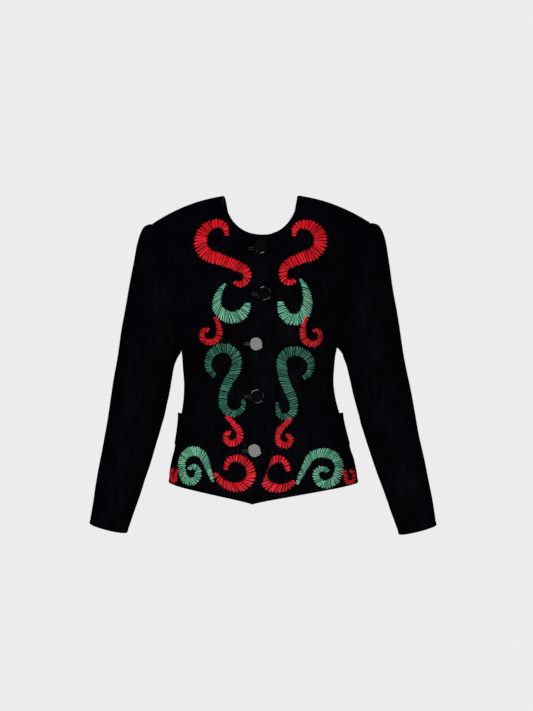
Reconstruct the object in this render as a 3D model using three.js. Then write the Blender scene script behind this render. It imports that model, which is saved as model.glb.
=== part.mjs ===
// An embroidered velvet jacket, filled out as when it is worn: collarless round neck, padded shoulders, long
// set-in sleeves, five buttons, a deep welt pocket on each hip and a hem that dips to a point in front.
// Millimetres, +Z up, the front faces -Y and the wearer's left is +X. The origin lies midway between the two
// neck points, where the shoulders carry the jacket. Every cloth piece is a closed wall of its own.
import * as THREE from "three";

// ---------------------------------------------------------------- driving dimensions
const WALL = 2; // velvet on its backing
const SEAM = 0.3; // gap left between two pieces where they are sewn
const ARMHOLE_SEAM = 0.45; // a little more where the seam turns round the arm
const SQUARENESS = 2.2; // exponent of the body's oval section, 2 is an ellipse
const NECK_HALF = 74.5; // half the distance between the neck points
const FRONT_NECK_DROP = 85; // from the neck points down to the front of the neck
const BACK_NECK_DROP = 70; // and to the back of the neck
const SHOULDER_HALF = 218; // from the middle to the end of the shoulder seam
const SHOULDER_SLOPE = 0.12; // fall of the shoulder line at the neck point
const SHOULDER_CURVE = 0.0018; // how fast the padded shoulder steepens, per mm
const SHOULDER_ROUND = 120; // height over which the chest rounds over to the shoulder seam
const UNDERARM_Z = -305;
const HEM_FRONT_Z = -605; // the point of the hem at the centre front
const HEM_POINT = -9; // its x, where both front edges end
const HEM_SIDE_Z = -571;
const HEM_BACK_Z = -574;
const OVERLAP = 33; // the upper front's edge lies this far past the middle
const UNDERLAP = 30; // and the under front's this far on the other side
const CUTAWAY_Z = -495; // below this the front edge slants back to the hem point
const LAP_DEPTH = 5; // how far the under front sinks beneath the upper one
const BUST = { x: 82, z: -228, out: 13, wide: 46, high: 54 };

// Sections of the body, from below the hem to the neck points: half width, depth in front of the side seam,
// depth behind it, how far the whole section sways and how much further its centre front leans, both towards
// the wearer's left.
const BODY = [
  { z: -640, half: 199, front: 128, back: 122, sway: 6, lean: -9 },
  { z: -576, half: 190, front: 123, back: 117, sway: 5, lean: -9 },
  { z: -545, half: 186, front: 119, back: 113, sway: 4, lean: -8 },
  { z: -510, half: 177, front: 114, back: 107, sway: 3, lean: -6 },
  { z: -434, half: 158, front: 102, back: 92, sway: -1, lean: 0 },
  { z: -385, half: 150, front: 96, back: 84, sway: -4, lean: 5 },
  { z: -348, half: 151, front: 101, back: 89, sway: -5, lean: 8 },
  { z: -305, half: 156, front: 110, back: 98, sway: -4, lean: 9 },
  { z: -250, half: 173, front: 116, back: 107, sway: -1, lean: 10 },
  { z: -200, half: 195, front: 116, back: 112, sway: 0, lean: 12 },
  { z: -150, half: 211, front: 109, back: 112, sway: 0, lean: 9 },
  { z: -100, half: 228, front: 94, back: 105, sway: 0, lean: 3 },
  { z: -54, half: 240, front: 84, back: 94, sway: 0, lean: 0 },
  { z: 0, half: 250, front: 80, back: 86, sway: 0, lean: 0 },
];

// The armhole, from the underarm up to the shoulder tip: distance from the middle, in front and behind.
const ARMHOLE = [
  { z: -305, front: 156, back: 156 },
  { z: -285, front: 157.5, back: 158.5 },
  { z: -250, front: 164.5, back: 167 },
  { z: -200, front: 177, back: 181 },
  { z: -150, front: 190, back: 194 },
  { z: -100, front: 205, back: 207 },
  { z: -54, front: 218, back: 218 },
];

// Sections of the wearer's left sleeve, from the armhole to the cuff. Each runs from its body side (innerX,
// innerZ) to its outer side (outerX, outerZ), is 2 * deep from front to back, has its middle at y = mid, and
// on both sleeves sways towards the wearer's left.
const SLEEVE = [
  { name: "armhole", innerX: 156, innerZ: -305, outerX: 218, outerZ: -54.6, deep: 54, mid: -2, sway: 0 },
  { name: "head", innerX: 159, innerZ: -309, outerX: 236, outerZ: -62, deep: 60, mid: -1, sway: 0 },
  { name: "cap", innerX: 161, innerZ: -314, outerX: 249, outerZ: -94, deep: 64, mid: 0, sway: 0 },
  { name: "shoulder", innerX: 162, innerZ: -319, outerX: 258, outerZ: -146, deep: 66, mid: 2, sway: -1 },
  { name: "upper", innerX: 163, innerZ: -325, outerX: 268, outerZ: -204, deep: 66, mid: 4, sway: -2 },
  { name: "arm", innerX: 165, innerZ: -332, outerX: 278, outerZ: -262, deep: 64, mid: 5, sway: -2 },
  { name: "bicep", innerX: 169, innerZ: -346, outerX: 286.5, outerZ: -320, deep: 62, mid: 6, sway: -2 },
  { name: "above_elbow", innerX: 180, innerZ: -394, outerX: 296, outerZ: -367, deep: 60, mid: 8, sway: -1 },
  { name: "elbow", innerX: 197, innerZ: -453, outerX: 306, outerZ: -427, deep: 57, mid: 7, sway: 0 },
  { name: "forearm", innerX: 219, innerZ: -522, outerX: 318, outerZ: -498, deep: 51, mid: -3, sway: 1 },
  { name: "wrist", innerX: 242, innerZ: -591, outerX: 331, outerZ: -569, deep: 44, mid: -17, sway: 3 },
  { name: "cuff", innerX: 269, innerZ: -671, outerX: 343, outerZ: -652, deep: 38, mid: -33, sway: 4 },
];

// The largest folds of a sleeve, as soft troughs: place along the sleeve in section numbers, place round it
// in degrees from the outer side through the front, half length in sections, half width, lean in degrees.
const SLEEVE_FOLDS = [
  { at: 4.4, round: 118, long: 1.5, wide: 22, lean: 10, deep: 5 },
  { at: 3.6, round: 62, long: 1.3, wide: 20, lean: -8, deep: 3.5 },
  { at: 7.9, round: 92, long: 0.9, wide: 30, lean: -34, deep: 4 },
  { at: 8.7, round: 128, long: 0.8, wide: 26, lean: 26, deep: 3.5 },
  { at: 6.2, round: 246, long: 1.6, wide: 24, lean: 12, deep: 4 },
  { at: 9.4, round: 285, long: 1.2, wide: 26, lean: -14, deep: 3 },
];

// The largest folds of the body, as soft troughs: middle and end in (x, z), half width and depth.
const BODY_FOLDS = [
  { x: 118, z: -372, toX: 142, toZ: -424, wide: 15, deep: 3.2 },
  { x: 132, z: -262, toX: 126, toZ: -330, wide: 15, deep: 3 },
  { x: 96, z: -120, toX: 138, toZ: -205, wide: 18, deep: 2.6 },
];

const POCKET = { top: -434, bottom: -496, inner: 84, lift: 0.7, gape: 6, wall: 2.2 };
const BUTTON = { radius: 14.5, face: 12.6, thick: 5.4, dome: 1, stem: 1, stemRadius: 4 };
const BUTTON_PLACES = [
  { x: 6, z: -111 },
  { x: 13, z: -200 },
  { x: -1, z: -296 },
  { x: -2, z: -398 },
  { x: -4, z: -502 },
];
const BUTTONHOLE = { past: 4, length: 30, height: 7, thick: 0.8, slit: 0.35, lift: 0.4 };
const STITCH = { lift: 0.65, high: 1.7 }; // how the satin stitch lies on the velvet
const CLEAR = 0.4; // least height over the velvet between the points of what lies on it

// The embroidered scrolls of a front, each laid along arcs of [radius, turn in degrees] from its start, with
// headings measured from straight out to the side, and its width from one tip over its belly to the other.
// Each side has its own start (distance from the middle, height) and its own stretch.
const SCROLLS = [
  {
    name: "chest_scroll",
    colour: "red",
    right: { x: 62, z: -89, wide: 1, tall: 1 },
    left: {
      x: 69.5, z: -88, wide: 1, tall: 1,
      arcs: [[60, -10], [17, -80], [33, -90], [34, -72], [330, 7], [19, 65], [13, 100], [8, 30]],
    },
    heading: 90,
    arcs: [[60, -10], [17, -80], [33, -90], [36, -75], [300, 12], [15, 150], [9, 60]],
    from: 8, belly: 26, at: 0.45, to: 8,
  },
  {
    name: "breast_crescent",
    colour: "mint",
    right: { x: 61, z: -182, wide: 1, tall: 1 },
    left: { x: 82, z: -171, wide: 0.97, tall: 1.13 },
    heading: -38,
    arcs: [[45, -50], [29, -95], [25, -85], [14, -20]],
    from: 6, belly: 22, at: 0.55, to: 8,
  },
  {
    name: "breast_curl",
    colour: "red",
    right: { x: 83, z: -247, wide: 1, tall: 1 },
    left: { x: 97, z: -247, wide: 0.97, tall: 1.08 },
    heading: -122,
    arcs: [[50, 32], [18, 90], [13, 100], [10, 80]],
    from: 8, belly: 13, at: 0.5, to: 8,
  },
  {
    name: "waist_scroll",
    colour: "green",
    right: { x: 83, z: -358, wide: 1, tall: 1 },
    left: { x: 86.5, z: -361, wide: 0.9, tall: 1.02 },
    heading: 30,
    arcs: [[20, 60], [29, 90], [23, 90], [50, 38], [70, -38], [20, -90], [17, -90], [8, -60]],
    from: 12, belly: 21, at: 0.5, to: 7,
  },
  {
    name: "waist_curl",
    colour: "red",
    right: { x: 62, z: -437, wide: 1, tall: 1 },
    left: { x: 67, z: -442, wide: 0.97, tall: 0.97 },
    heading: -139,
    arcs: [[150, 14], [16, 125], [12, 100], [7, 70]],
    from: 9, belly: 14, at: 0.5, to: 8,
  },
  {
    name: "hem_scroll",
    colour: "red",
    right: { x: 62, z: -539, wide: 1, tall: 1 },
    left: { x: 63, z: -541, wide: 0.7, tall: 1 },
    heading: 98,
    arcs: [[60, 8], [17, 74], [30, 80], [29, 80], [40, 60]],
    from: 9, belly: 17, at: 0.55, to: 7,
  },
  {
    name: "hip_spiral",
    colour: "mint",
    right: { x: 85, z: -561, wide: 1, tall: 1 },
    left: { x: 73, z: -566, wide: 1.22, tall: 1 },
    heading: 66,
    arcs: [[300, -10], [19, -66], [27, -80], [20, -110], [14, -90], [10, -90]],
    from: 7, belly: 18, at: 0.5, to: 9,
  },
  {
    name: "side_curl",
    colour: "red",
    right: { x: 163.3, z: -536, wide: 1, tall: 1, arcs: [[70, 10], [4.2, 140], [30, 24]] },
    left: { x: 166.9, z: -538, wide: 1, tall: 1 },
    heading: -82,
    arcs: [[70, 12], [5.5, 135], [30, 26]],
    from: 6.6, belly: 7.2, at: 0.5, to: 6,
  },
];

const CELLS = { neck: 5, shoulder: 3, armhole: 10, height: 18, sleeve: 18 };
const COLOURS = { velvet: "#0b0a10", red: "#d8202c", mint: "#4fb083", green: "#1d6148", button: "#22242a" };

// ---------------------------------------------------------------- small tools
const mix = (a, b, t) => a + (b - a) * t;
const clamp = (v, low, high) => Math.min(high, Math.max(low, v));
const smooth = (t) => clamp(t, 0, 1) ** 2 * (3 - 2 * clamp(t, 0, 1));
const degrees = (angle) => (angle * Math.PI) / 180;
const bell = (x) => Math.exp(-x * x);
const signedPower = (v, p) => Math.sign(v) * Math.abs(v) ** p;

// The value of `column` at place `t` counted in rows, on a smooth curve through every row.
function along(table, column, t) {
  const last = table.length - 1;
  const row = clamp(Math.floor(t), 0, last - 1);
  const value = (k) => table[clamp(k, 0, last)][column];
  const [before, from, to, after] = [value(row - 1), value(row), value(row + 1), value(row + 2)];
  const s = t - row;
  const curve = 2 * from + (to - before) * s + (2 * before - 5 * from + 4 * to - after) * s * s;
  return 0.5 * (curve + (3 * from - 3 * to + after - before) * s * s * s);
}

// The value of `column` at height z in a table whose rows rise in z.
function atHeight(table, column, z) {
  const upper = table.findIndex((row) => row.z >= z);
  const row = clamp(upper < 0 ? table.length - 1 : upper, 1, table.length - 1);
  const share = (z - table[row - 1].z) / (table[row].z - table[row - 1].z);
  return along(table, column, row - 1 + share);
}

// A closed wall between two grids of points, whose columns meet when it is a tube.
function wallGeometry(outer, inner, isTube = false) {
  const rows = outer.length - 1;
  const columns = outer[0].length - (isTube ? 0 : 1);
  const width = outer[0].length;
  const points = [...outer.flat(), ...inner.flat()];
  const index = (side, i, j) => side * outer.length * width + i * width + (j % width);
  const faces = [];
  const quad = (a, b, c, d) => faces.push(a, b, c, a, c, d);
  for (let i = 0; i < rows; i++)
    for (let j = 0; j < columns; j++) {
      quad(index(0, i, j), index(0, i, j + 1), index(0, i + 1, j + 1), index(0, i + 1, j));
      quad(index(1, i, j), index(1, i + 1, j), index(1, i + 1, j + 1), index(1, i, j + 1));
    }
  for (let j = 0; j < columns; j++) {
    quad(index(0, 0, j + 1), index(0, 0, j), index(1, 0, j), index(1, 0, j + 1));
    quad(index(0, rows, j), index(0, rows, j + 1), index(1, rows, j + 1), index(1, rows, j));
  }
  if (!isTube)
    for (let i = 0; i < rows; i++) {
      quad(index(0, i, 0), index(0, i + 1, 0), index(1, i + 1, 0), index(1, i, 0));
      quad(index(0, i + 1, columns), index(0, i, columns), index(1, i, columns), index(1, i + 1, columns));
    }
  return outwards(points, faces);
}

// A geometry from points and faces, turned so that its faces point out.
function outwards(points, faces) {
  let volume = 0;
  for (let k = 0; k < faces.length; k += 3) {
    const [a, b, c] = [points[faces[k]], points[faces[k + 1]], points[faces[k + 2]]];
    volume += a.dot(b.clone().cross(c));
  }
  if (volume < 0) faces.reverse();
  const geometry = new THREE.BufferGeometry().setFromPoints(points);
  geometry.setIndex(faces);
  geometry.computeVertexNormals();
  return geometry;
}

// The unit normals of a grid of points. `tangentAt` may give the direction across the grid at an edge.
function gridNormals(grid, isTube, tangentAt = () => ({})) {
  const rows = grid.length - 1;
  const width = grid[0].length;
  return grid.map((row, i) =>
    row.map((point, j) => {
      const fixed = tangentAt(i, j);
      const left = isTube ? (j + width - 1) % width : Math.max(j - 1, 0);
      const right = isTube ? (j + 1) % width : Math.min(j + 1, width - 1);
      const across = fixed.across ?? row[right].clone().sub(row[left]);
      const up = fixed.up ?? grid[Math.min(i + 1, rows)][j].clone().sub(grid[Math.max(i - 1, 0)][j]);
      return across.clone().cross(up).normalize();
    }),
  );
}

// The grid moved along its normals.
const moved = (grid, normals, distance) =>
  grid.map((row, i) => row.map((point, j) => point.clone().addScaledVector(normals[i][j], distance)));

// ---------------------------------------------------------------- the body's form
const halfWidth = (z) => atHeight(BODY, "half", z);

// Height of the shoulder line at a distance x from the middle.
function shoulderTop(x) {
  const past = Math.max(Math.abs(x) - NECK_HALF, 0);
  return -(SHOULDER_SLOPE * past + SHOULDER_CURVE * past * past);
}

// Depth of the body at its middle, rounded over towards the shoulder line above x, for face front or back.
function bodyDepth(face, x, z) {
  const below = clamp((shoulderTop(x) - z) / SHOULDER_ROUND, 0, 1);
  return atHeight(BODY, face, z) * Math.sqrt(1 - (1 - below) ** 2);
}

// How deep the folds cut into the front at (x, z), with x measured towards the side.
function bodyFold(x, z) {
  return BODY_FOLDS.reduce((sum, fold) => {
    const run = new THREE.Vector2(fold.toX - fold.x, fold.toZ - fold.z);
    const offset = new THREE.Vector2(x - fold.x, z - fold.z);
    const share = offset.dot(run) / run.lengthSq();
    const aside = Math.abs(offset.cross(run)) / run.length();
    return sum + fold.deep * bell(aside / fold.wide) * bell((share - 0.5) / 0.6);
  }, 0);
}

// A point of the body's outer face. Side is 1 on the wearer's left and -1 on the right, and share is the
// distance from the middle over the half width; a front edge past the middle has a share below 0.
function bodyPoint(face, side, share, z) {
  const reach = Math.abs(share);
  const x = side * share * halfWidth(z);
  const bow = Math.max(1 - reach ** SQUARENESS, 0) ** (1 / SQUARENESS);
  const lean = atHeight(BODY, "lean", z) * (face === "front" ? 1 - reach ** 2 : 0);
  let depth = bodyDepth(face, x, z) * bow;
  if (face === "front") {
    const bust = bell((Math.abs(x) - BUST.x) / BUST.wide) * bell((z - BUST.z) / BUST.high);
    depth += (BUST.out * bust - bodyFold(Math.abs(x), z)) * bow;
  }
  return new THREE.Vector3(x + atHeight(BODY, "sway", z) + lean, (face === "front" ? -1 : 1) * depth, z);
}

const armholeX = (face, z) => atHeight(ARMHOLE, face, z);
const neckTop = (x, drop) =>
  -drop * Math.max(1 - Math.abs(x / NECK_HALF) ** SQUARENESS, 0) ** (1 / SQUARENESS);

// How far the centre front is shifted in all at height z.
const frontShift = (z) => atHeight(BODY, "sway", z) + atHeight(BODY, "lean", z);

// The x of a front edge at height z: straight down to the cutaway, then slanting to the hem point.
function edgeLine(z, top) {
  const fall = clamp((CUTAWAY_Z - z) / (CUTAWAY_Z - HEM_FRONT_Z), 0, 1);
  return mix(top, HEM_POINT, fall ** 1.15);
}

// The upper edge of a body panel, from `startX` at the neck to the underarm, as columns of {x, z}.
function upperEdge(face, startX, neckDrop) {
  const start = Math.asin(startX / NECK_HALF);
  const edge = [];
  for (let k = 0; k < CELLS.neck; k++) {
    const x = NECK_HALF * Math.sin(mix(start, Math.PI / 2, k / CELLS.neck));
    edge.push({ x, z: neckTop(x, neckDrop), steep: 0.85 * (k / CELLS.neck) });
  }
  for (let k = 0; k < CELLS.shoulder; k++) {
    const x = mix(NECK_HALF, SHOULDER_HALF, k / CELLS.shoulder);
    edge.push({ x, z: shoulderTop(x), steep: 0.85, isShoulder: true });
  }
  for (let k = 0; k <= CELLS.armhole; k++) {
    const fall = (1 - Math.cos((Math.PI * k) / CELLS.armhole)) / 2;
    const z = mix(shoulderTop(SHOULDER_HALF), UNDERARM_Z, fall);
    const tuck = 0.8 * (1 - fall);
    edge.push({ x: armholeX(face, z), z, steep: 0.85 * (1 - fall), tuck, isShoulder: k === 0 });
  }
  return edge;
}

// The outer points of half a body panel as rows from the hem up. `edgeAt` gives the x of its first column.
function halfPanel(face, side, edgeAt, upper) {
  const columns = upper.length - 1;
  const rows = [];
  for (let i = 0; i <= CELLS.height; i++) rows.push([]);
  upper.forEach((top, j) => {
    const spread = Math.sin((Math.PI / 2) * (j / columns)) ** 0.95;
    const hemZ = hemHeight(face, spread);
    const topShare = (top.x - edgeAt(top.z)) / (halfWidth(top.z) - edgeAt(top.z));
    for (let i = 0; i <= CELLS.height; i++) {
      const u = i / CELLS.height;
      const rise = mix(u, Math.sin((Math.PI / 2) * u), top.steep);
      const z = mix(hemZ, top.z, rise);
      const tuck = (top.tuck ?? 0) * (1 - rise) * rise ** 4; // comes up to the armhole from inside it
      const place = mix(spread, j === columns ? 1 : topShare, smooth(rise)) - tuck;
      const x = mix(edgeAt(z), halfWidth(z), place);
      rows[i].push(bodyPoint(face, side, x / halfWidth(z), z));
    }
  });
  return rows;
}

function hemHeight(face, spread) {
  if (face === "front") return mix(HEM_FRONT_Z, HEM_SIDE_Z, spread ** 0.85);
  return mix(HEM_BACK_Z, HEM_SIDE_Z, spread);
}

// The wall of a body panel from its outer points, held clear of the seams that lie in the plane y = 0.
function panelWall(face, outer, upper, seamColumns) {
  const toBack = new THREE.Vector3(0, 1, 0);
  const flip = face === "front" ? 1 : -1;
  const normals = gridNormals(outer, false, (i, j) => ({
    across: seamColumns[j] && toBack.clone().multiplyScalar(seamColumns[j]),
    up: i === CELLS.height && upper[j].isShoulder ? toBack.clone().multiplyScalar(flip) : undefined,
  }));
  const facing = outer[2][3].y * normals[2][3].y < 0 ? -1 : 1;
  const inner = moved(outer, normals, -WALL * facing);
  const limit = (point) => {
    if (flip * point.y > -SEAM / 2) point.y = (-flip * SEAM) / 2;
    return point;
  };
  outer.flat().forEach(limit);
  inner.flat().forEach(limit);
  return { outer, inner, normals: normals.map((row) => row.map((n) => n.multiplyScalar(facing))) };
}

// A front: the upper one has side -1, the wearer's right, and laps over the under one.
function frontPanel(side) {
  const isUpper = side < 0;
  const edgeAt = (z) => side * (edgeLine(z, isUpper ? OVERLAP : -UNDERLAP) - frontShift(z));
  const upper = upperEdge("front", edgeAt(-FRONT_NECK_DROP), FRONT_NECK_DROP);
  const outer = halfPanel("front", side, edgeAt, upper);
  const seamColumns = { [upper.length - 1]: 1 };
  const wall = panelWall("front", outer, upper, seamColumns);
  if (!isUpper) [wall.outer, wall.inner].forEach((grid) => grid.flat().forEach(sinkUnderLap));
  return wall;
}

// Sinks a point of the under front by the thickness of the upper one, where that lies over it.
function sinkUnderLap(point) {
  const cover = 1 - smooth((point.x - edgeLine(point.z, OVERLAP) - 4) / 50);
  point.y += LAP_DEPTH * cover * smooth(-point.y / 40);
}

// The back, in one piece from side seam to side seam.
function backPanel() {
  const upper = upperEdge("back", 0, BACK_NECK_DROP);
  const [left, right] = [1, -1].map((side) => halfPanel("back", side, () => 0, upper));
  const outer = left.map((row, i) => [...right[i].slice(1).reverse(), ...row]);
  const whole = [...upper.slice(1).reverse(), ...upper];
  return panelWall("back", outer, whole, { 0: 1, [whole.length - 1]: -1 });
}

// ---------------------------------------------------------------- sleeves
// The armhole's edge as one loop from the shoulder tip down the front and up the back, with the panels'
// points that meet at each place.
function armholeLoop(front, back, side) {
  const first = CELLS.neck + CELLS.shoulder;
  const middle = first + CELLS.armhole;
  const place = (panel, j) => {
    const [outer, inner, normal] = [panel.outer, panel.inner, panel.normals].map((g) => g[CELLS.height][j]);
    return { outer, inner, normal };
  };
  const loop = [];
  for (let k = 0; k < 2 * CELLS.armhole; k++) {
    const down = Math.min(k, 2 * CELLS.armhole - k);
    const meeting = [];
    if (k <= CELLS.armhole) meeting.push(place(front, first + down));
    if (k >= CELLS.armhole || k === 0) meeting.push(place(back, middle + side * (first + down)));
    const mean = (key) =>
      meeting.reduce((sum, edge) => sum.add(edge[key]), new THREE.Vector3()).divideScalar(meeting.length);
    loop.push({ meeting, outer: mean("outer"), normal: mean("normal").normalize() });
  }
  return loop;
}

function sleeveFold(place, round) {
  return SLEEVE_FOLDS.reduce((sum, fold) => {
    const offset = place - fold.at;
    const aside = round - fold.round - fold.lean * offset;
    return sum + fold.deep * bell(offset / fold.long) * bell(aside / fold.wide);
  }, 0);
}

// A point of a plain sleeve section, `round` degrees from its outer side through the front.
function sleevePoint(side, place, round) {
  const value = (column) => along(SLEEVE, column, place);
  const toOuter = signedPower(Math.cos(degrees(round)), 0.95) / 2;
  const toFront = signedPower(Math.sin(degrees(round)), 0.95);
  const x = mix(value("innerX"), value("outerX"), 0.5 + toOuter);
  const z = mix(value("innerZ"), value("outerZ"), 0.5 + toOuter);
  return new THREE.Vector3(side * x + value("sway"), value("mid") - value("deep") * toFront, z);
}

function sleeveWall(side, loop) {
  const count = loop.length;
  const placeOf = (i) => (i / CELLS.sleeve) ** 1.15 * (SLEEVE.length - 1);
  const roundOf = (k) => (360 * k) / count;
  const outer = [];
  for (let i = 0; i <= CELLS.sleeve; i++) {
    const place = placeOf(i);
    const hold = Math.max(1 - place / 3, 0) ** 2; // how far the seam's own shape still shows
    outer.push(
      loop.map((edge, k) => {
        const misfit = edge.outer.clone().sub(sleevePoint(side, 0, roundOf(k)));
        return sleevePoint(side, place, roundOf(k)).addScaledVector(misfit, hold);
      }),
    );
  }
  const normals = gridNormals(outer, true);
  const isInsideOut = normals[4][0].x * side < 0;
  if (isInsideOut) normals.flat().forEach((normal) => normal.negate());
  outer.forEach((ring, i) =>
    ring.forEach((point, k) => {
      const depth = sleeveFold(placeOf(i), roundOf(k)) * smooth(placeOf(i) / 1.5);
      point.addScaledVector(normals[i][k], -depth);
    }),
  );
  const inner = moved(outer, normals, -WALL);
  joinSeam(loop, outer[0], inner[0], normals[0]);
  return { outer, inner, normals };
}

// Gives both sides of an armhole seam the same slope across the wall and opens the seam between them.
function joinSeam(loop, outerRing, innerRing, sleeveNormals) {
  const count = loop.length;
  const centre = loop.reduce((sum, edge) => sum.add(edge.outer), new THREE.Vector3()).divideScalar(count);
  let slopes = loop.map((edge, k) => edge.normal.clone().add(sleeveNormals[k]).normalize());
  for (let pass = 0; pass < 4; pass++)
    slopes = slopes.map((slope, k) => {
      const beside = slopes[(k + 1) % count].clone().add(slopes[(k + count - 1) % count]);
      return beside.addScaledVector(slope, 2).normalize();
    });
  loop.forEach((edge, k) => {
    for (const { outer, inner } of edge.meeting) {
      const side = Math.sign(outer.y);
      inner.copy(outer).addScaledVector(slopes[k], -WALL);
      inner.y = side * Math.max(side * inner.y, SEAM / 2);
    }
    const away = loop[(k + 1) % count].outer.clone().sub(loop[(k + count - 1) % count].outer);
    away.cross(slopes[k]).normalize();
    if (away.dot(centre.clone().sub(edge.outer)) < 0) away.negate();
    outerRing[k].copy(edge.outer).addScaledVector(away, ARMHOLE_SEAM);
    innerRing[k].copy(outerRing[k]).addScaledVector(slopes[k], -WALL);
  });
}

// ---------------------------------------------------------------- what lies on the fronts
// The place on a panel's outer face that is seen straight from the front at (x, z), lifted off the cloth.
function onPanel(panel, x, z, lift) {
  const { outer, normals } = panel;
  for (let i = 0; i < outer.length - 1; i++)
    for (let j = 0; j < outer[0].length - 1; j++) {
      const corners = [[i, j], [i, j + 1], [i + 1, j + 1], [i + 1, j]];
      for (const pick of [[0, 1, 2], [0, 2, 3]]) {
        const [a, b, c] = pick.map((k) => outer[corners[k][0]][corners[k][1]]);
        const area = (b.x - a.x) * (c.z - a.z) - (c.x - a.x) * (b.z - a.z);
        const shareB = ((x - a.x) * (c.z - a.z) - (c.x - a.x) * (z - a.z)) / area;
        const shareC = ((b.x - a.x) * (z - a.z) - (x - a.x) * (b.z - a.z)) / area;
        if (shareB < -1e-6 || shareC < -1e-6 || shareB + shareC > 1 + 1e-6) continue;
        const blend = (grid) =>
          pick.reduce((sum, k, corner) => {
            const share = [1 - shareB - shareC, shareB, shareC][corner];
            return sum.addScaledVector(grid[corners[k][0]][corners[k][1]], share);
          }, new THREE.Vector3());
        return blend(outer).addScaledVector(blend(normals).normalize(), lift);
      }
    }
  throw new Error(`nothing lies at ${x}, ${z}`);
}

// The place on a front at height z in one of its columns, which may lie between two of them.
function inColumn(panel, column, z, lift) {
  const first = Math.min(Math.floor(column), panel.outer[0].length - 2);
  const [from, to] = [first, first + 1].map((j) => {
    const above = Math.max(panel.outer.findIndex((row) => row[j].z >= z), 1);
    const [low, high] = [panel.outer[above - 1][j], panel.outer[above][j]];
    const share = (z - low.z) / (high.z - low.z);
    const normal = panel.normals[above - 1][j].clone().lerp(panel.normals[above][j], share);
    return { point: low.clone().lerp(high, share), normal };
  });
  const normal = from.normal.lerp(to.normal, column - first).normalize();
  return from.point.lerp(to.point, column - first).addScaledVector(normal, lift);
}

// A deep welt that reaches round to the side seam and stands away from the hip along its top.
function pocketWelt(panel) {
  const last = panel.outer[0].length - 1;
  let first = 0;
  while (Math.abs(inColumn(panel, first, POCKET.top, 0).x) < POCKET.inner) first += 0.1;
  const columns = [first];
  for (let j = Math.ceil(first + 0.2); j <= last; j++) columns.push(j);
  const layer = (raise) =>
    [0, 1, 2, 3].map((i) => {
      const z = mix(POCKET.bottom, POCKET.top, i / 3);
      return columns.map((column) => {
        const sideways = (column - first) / (last - first);
        const gape = POCKET.gape * (i / 3) ** 2 * mix(0.25, 1, sideways);
        const point = inColumn(panel, column, z, POCKET.lift + gape + raise);
        point.y = Math.min(point.y, -SEAM / 2);
        return point;
      });
    });
  return wallGeometry(layer(POCKET.wall), layer(0));
}

function buttonGeometry() {
  const { radius, face, thick, dome, stem, stemRadius } = BUTTON;
  const profile = [
    [0, 0],
    [stemRadius, 0],
    [stemRadius, stem],
    [radius - 0.6, stem],
    [radius, stem + 1.4],
    [radius - 0.3, stem + thick - 1],
    [face, stem + thick],
    [0, stem + thick + dome],
  ];
  return new THREE.LatheGeometry(profile.map(([x, y]) => new THREE.Vector2(x, y)), 18);
}

// Turns a button, whose own +Y is its front, to face straight off the panel, with its stem resting on the
// lips and its back clear of them.
function seatButton(mesh, panel, place, lips) {
  const foot = onPanel(panel, place.x, place.z, 0);
  const out = onPanel(panel, place.x, place.z, 1).sub(foot);
  const heightWithin = (radius) => {
    const offsets = lips.flat().map((point) => point.clone().sub(foot));
    const near = offsets.filter((offset) => offset.length() < radius);
    return Math.max(...near.map((offset) => offset.dot(out)));
  };
  const lift = Math.max(heightWithin(BUTTON.stemRadius + 3), heightWithin(BUTTON.radius + 3) - BUTTON.stem);
  mesh.position.copy(foot).addScaledVector(out, lift + SEAM);
  mesh.quaternion.setFromUnitVectors(new THREE.Vector3(0, 1, 0), out);
}

// The two corded lips of a bound buttonhole, as the rings of one thin plate with the slit along its middle.
function buttonholeRings(panel, place) {
  const { past, length, height, thick, slit, lift } = BUTTONHOLE;
  const under = [-0.5, -0.25, 0, 0.25, 0.5].map((up) => ({ up: up * height, lift }));
  const crests = [0.7 * thick, thick, slit, thick, 0.7 * thick];
  const over = under.map(({ up }, k) => ({ up, lift: lift + crests[k] })).reverse();
  const rings = [0, 1, 2, 3, 4].map((j) => {
    const x = place.x + past - (length * j) / 4;
    return [...under, ...over].map((point) => onPanel(panel, x, place.z + point.up, point.lift));
  });
  clearPanel(panel, rings, under.length);
  return rings;
}

// ---------------------------------------------------------------- embroidered scrolls
// A scroll's centre line as a list of {x, z, toX, toZ}: its place on the front and its direction there.
function scrollPath(scroll, sideName) {
  const side = sideName === "left" ? 1 : -1;
  const { x, z, wide, tall } = scroll[sideName];
  let heading = degrees(scroll.heading);
  let [out, up] = [0, 0];
  const path = [];
  const note = () => {
    const [toX, toZ] = [side * Math.cos(heading) * wide, Math.sin(heading) * tall];
    path.push({ x: side * (x + out * wide), z: z + up * tall, toX, toZ });
  };
  note();
  for (const [radius, turn] of scroll[sideName].arcs ?? scroll.arcs) {
    const bend = Math.abs(turn);
    const steps = Math.max(1, Math.round(Math.max((radius * degrees(bend)) / 9, bend / 34)));
    for (let k = 0; k < steps; k++) {
      const next = heading + degrees(turn / steps);
      const spin = Math.sign(turn) * radius;
      out += spin * (Math.sin(next) - Math.sin(heading));
      up += spin * (Math.cos(heading) - Math.cos(next));
      heading = next;
      note();
    }
  }
  return path;
}

// A scroll's width at a share of its length: it swells from `from` to `belly` and thins out to `to`.
function scrollWidth({ from, belly, at, to }, share) {
  if (share < at) return mix(from, belly, Math.sin((Math.PI / 2) * (share / at)));
  return mix(to, belly, Math.cos((Math.PI / 2) * ((share - at) / (1 - at))) ** 1.2);
}

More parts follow.
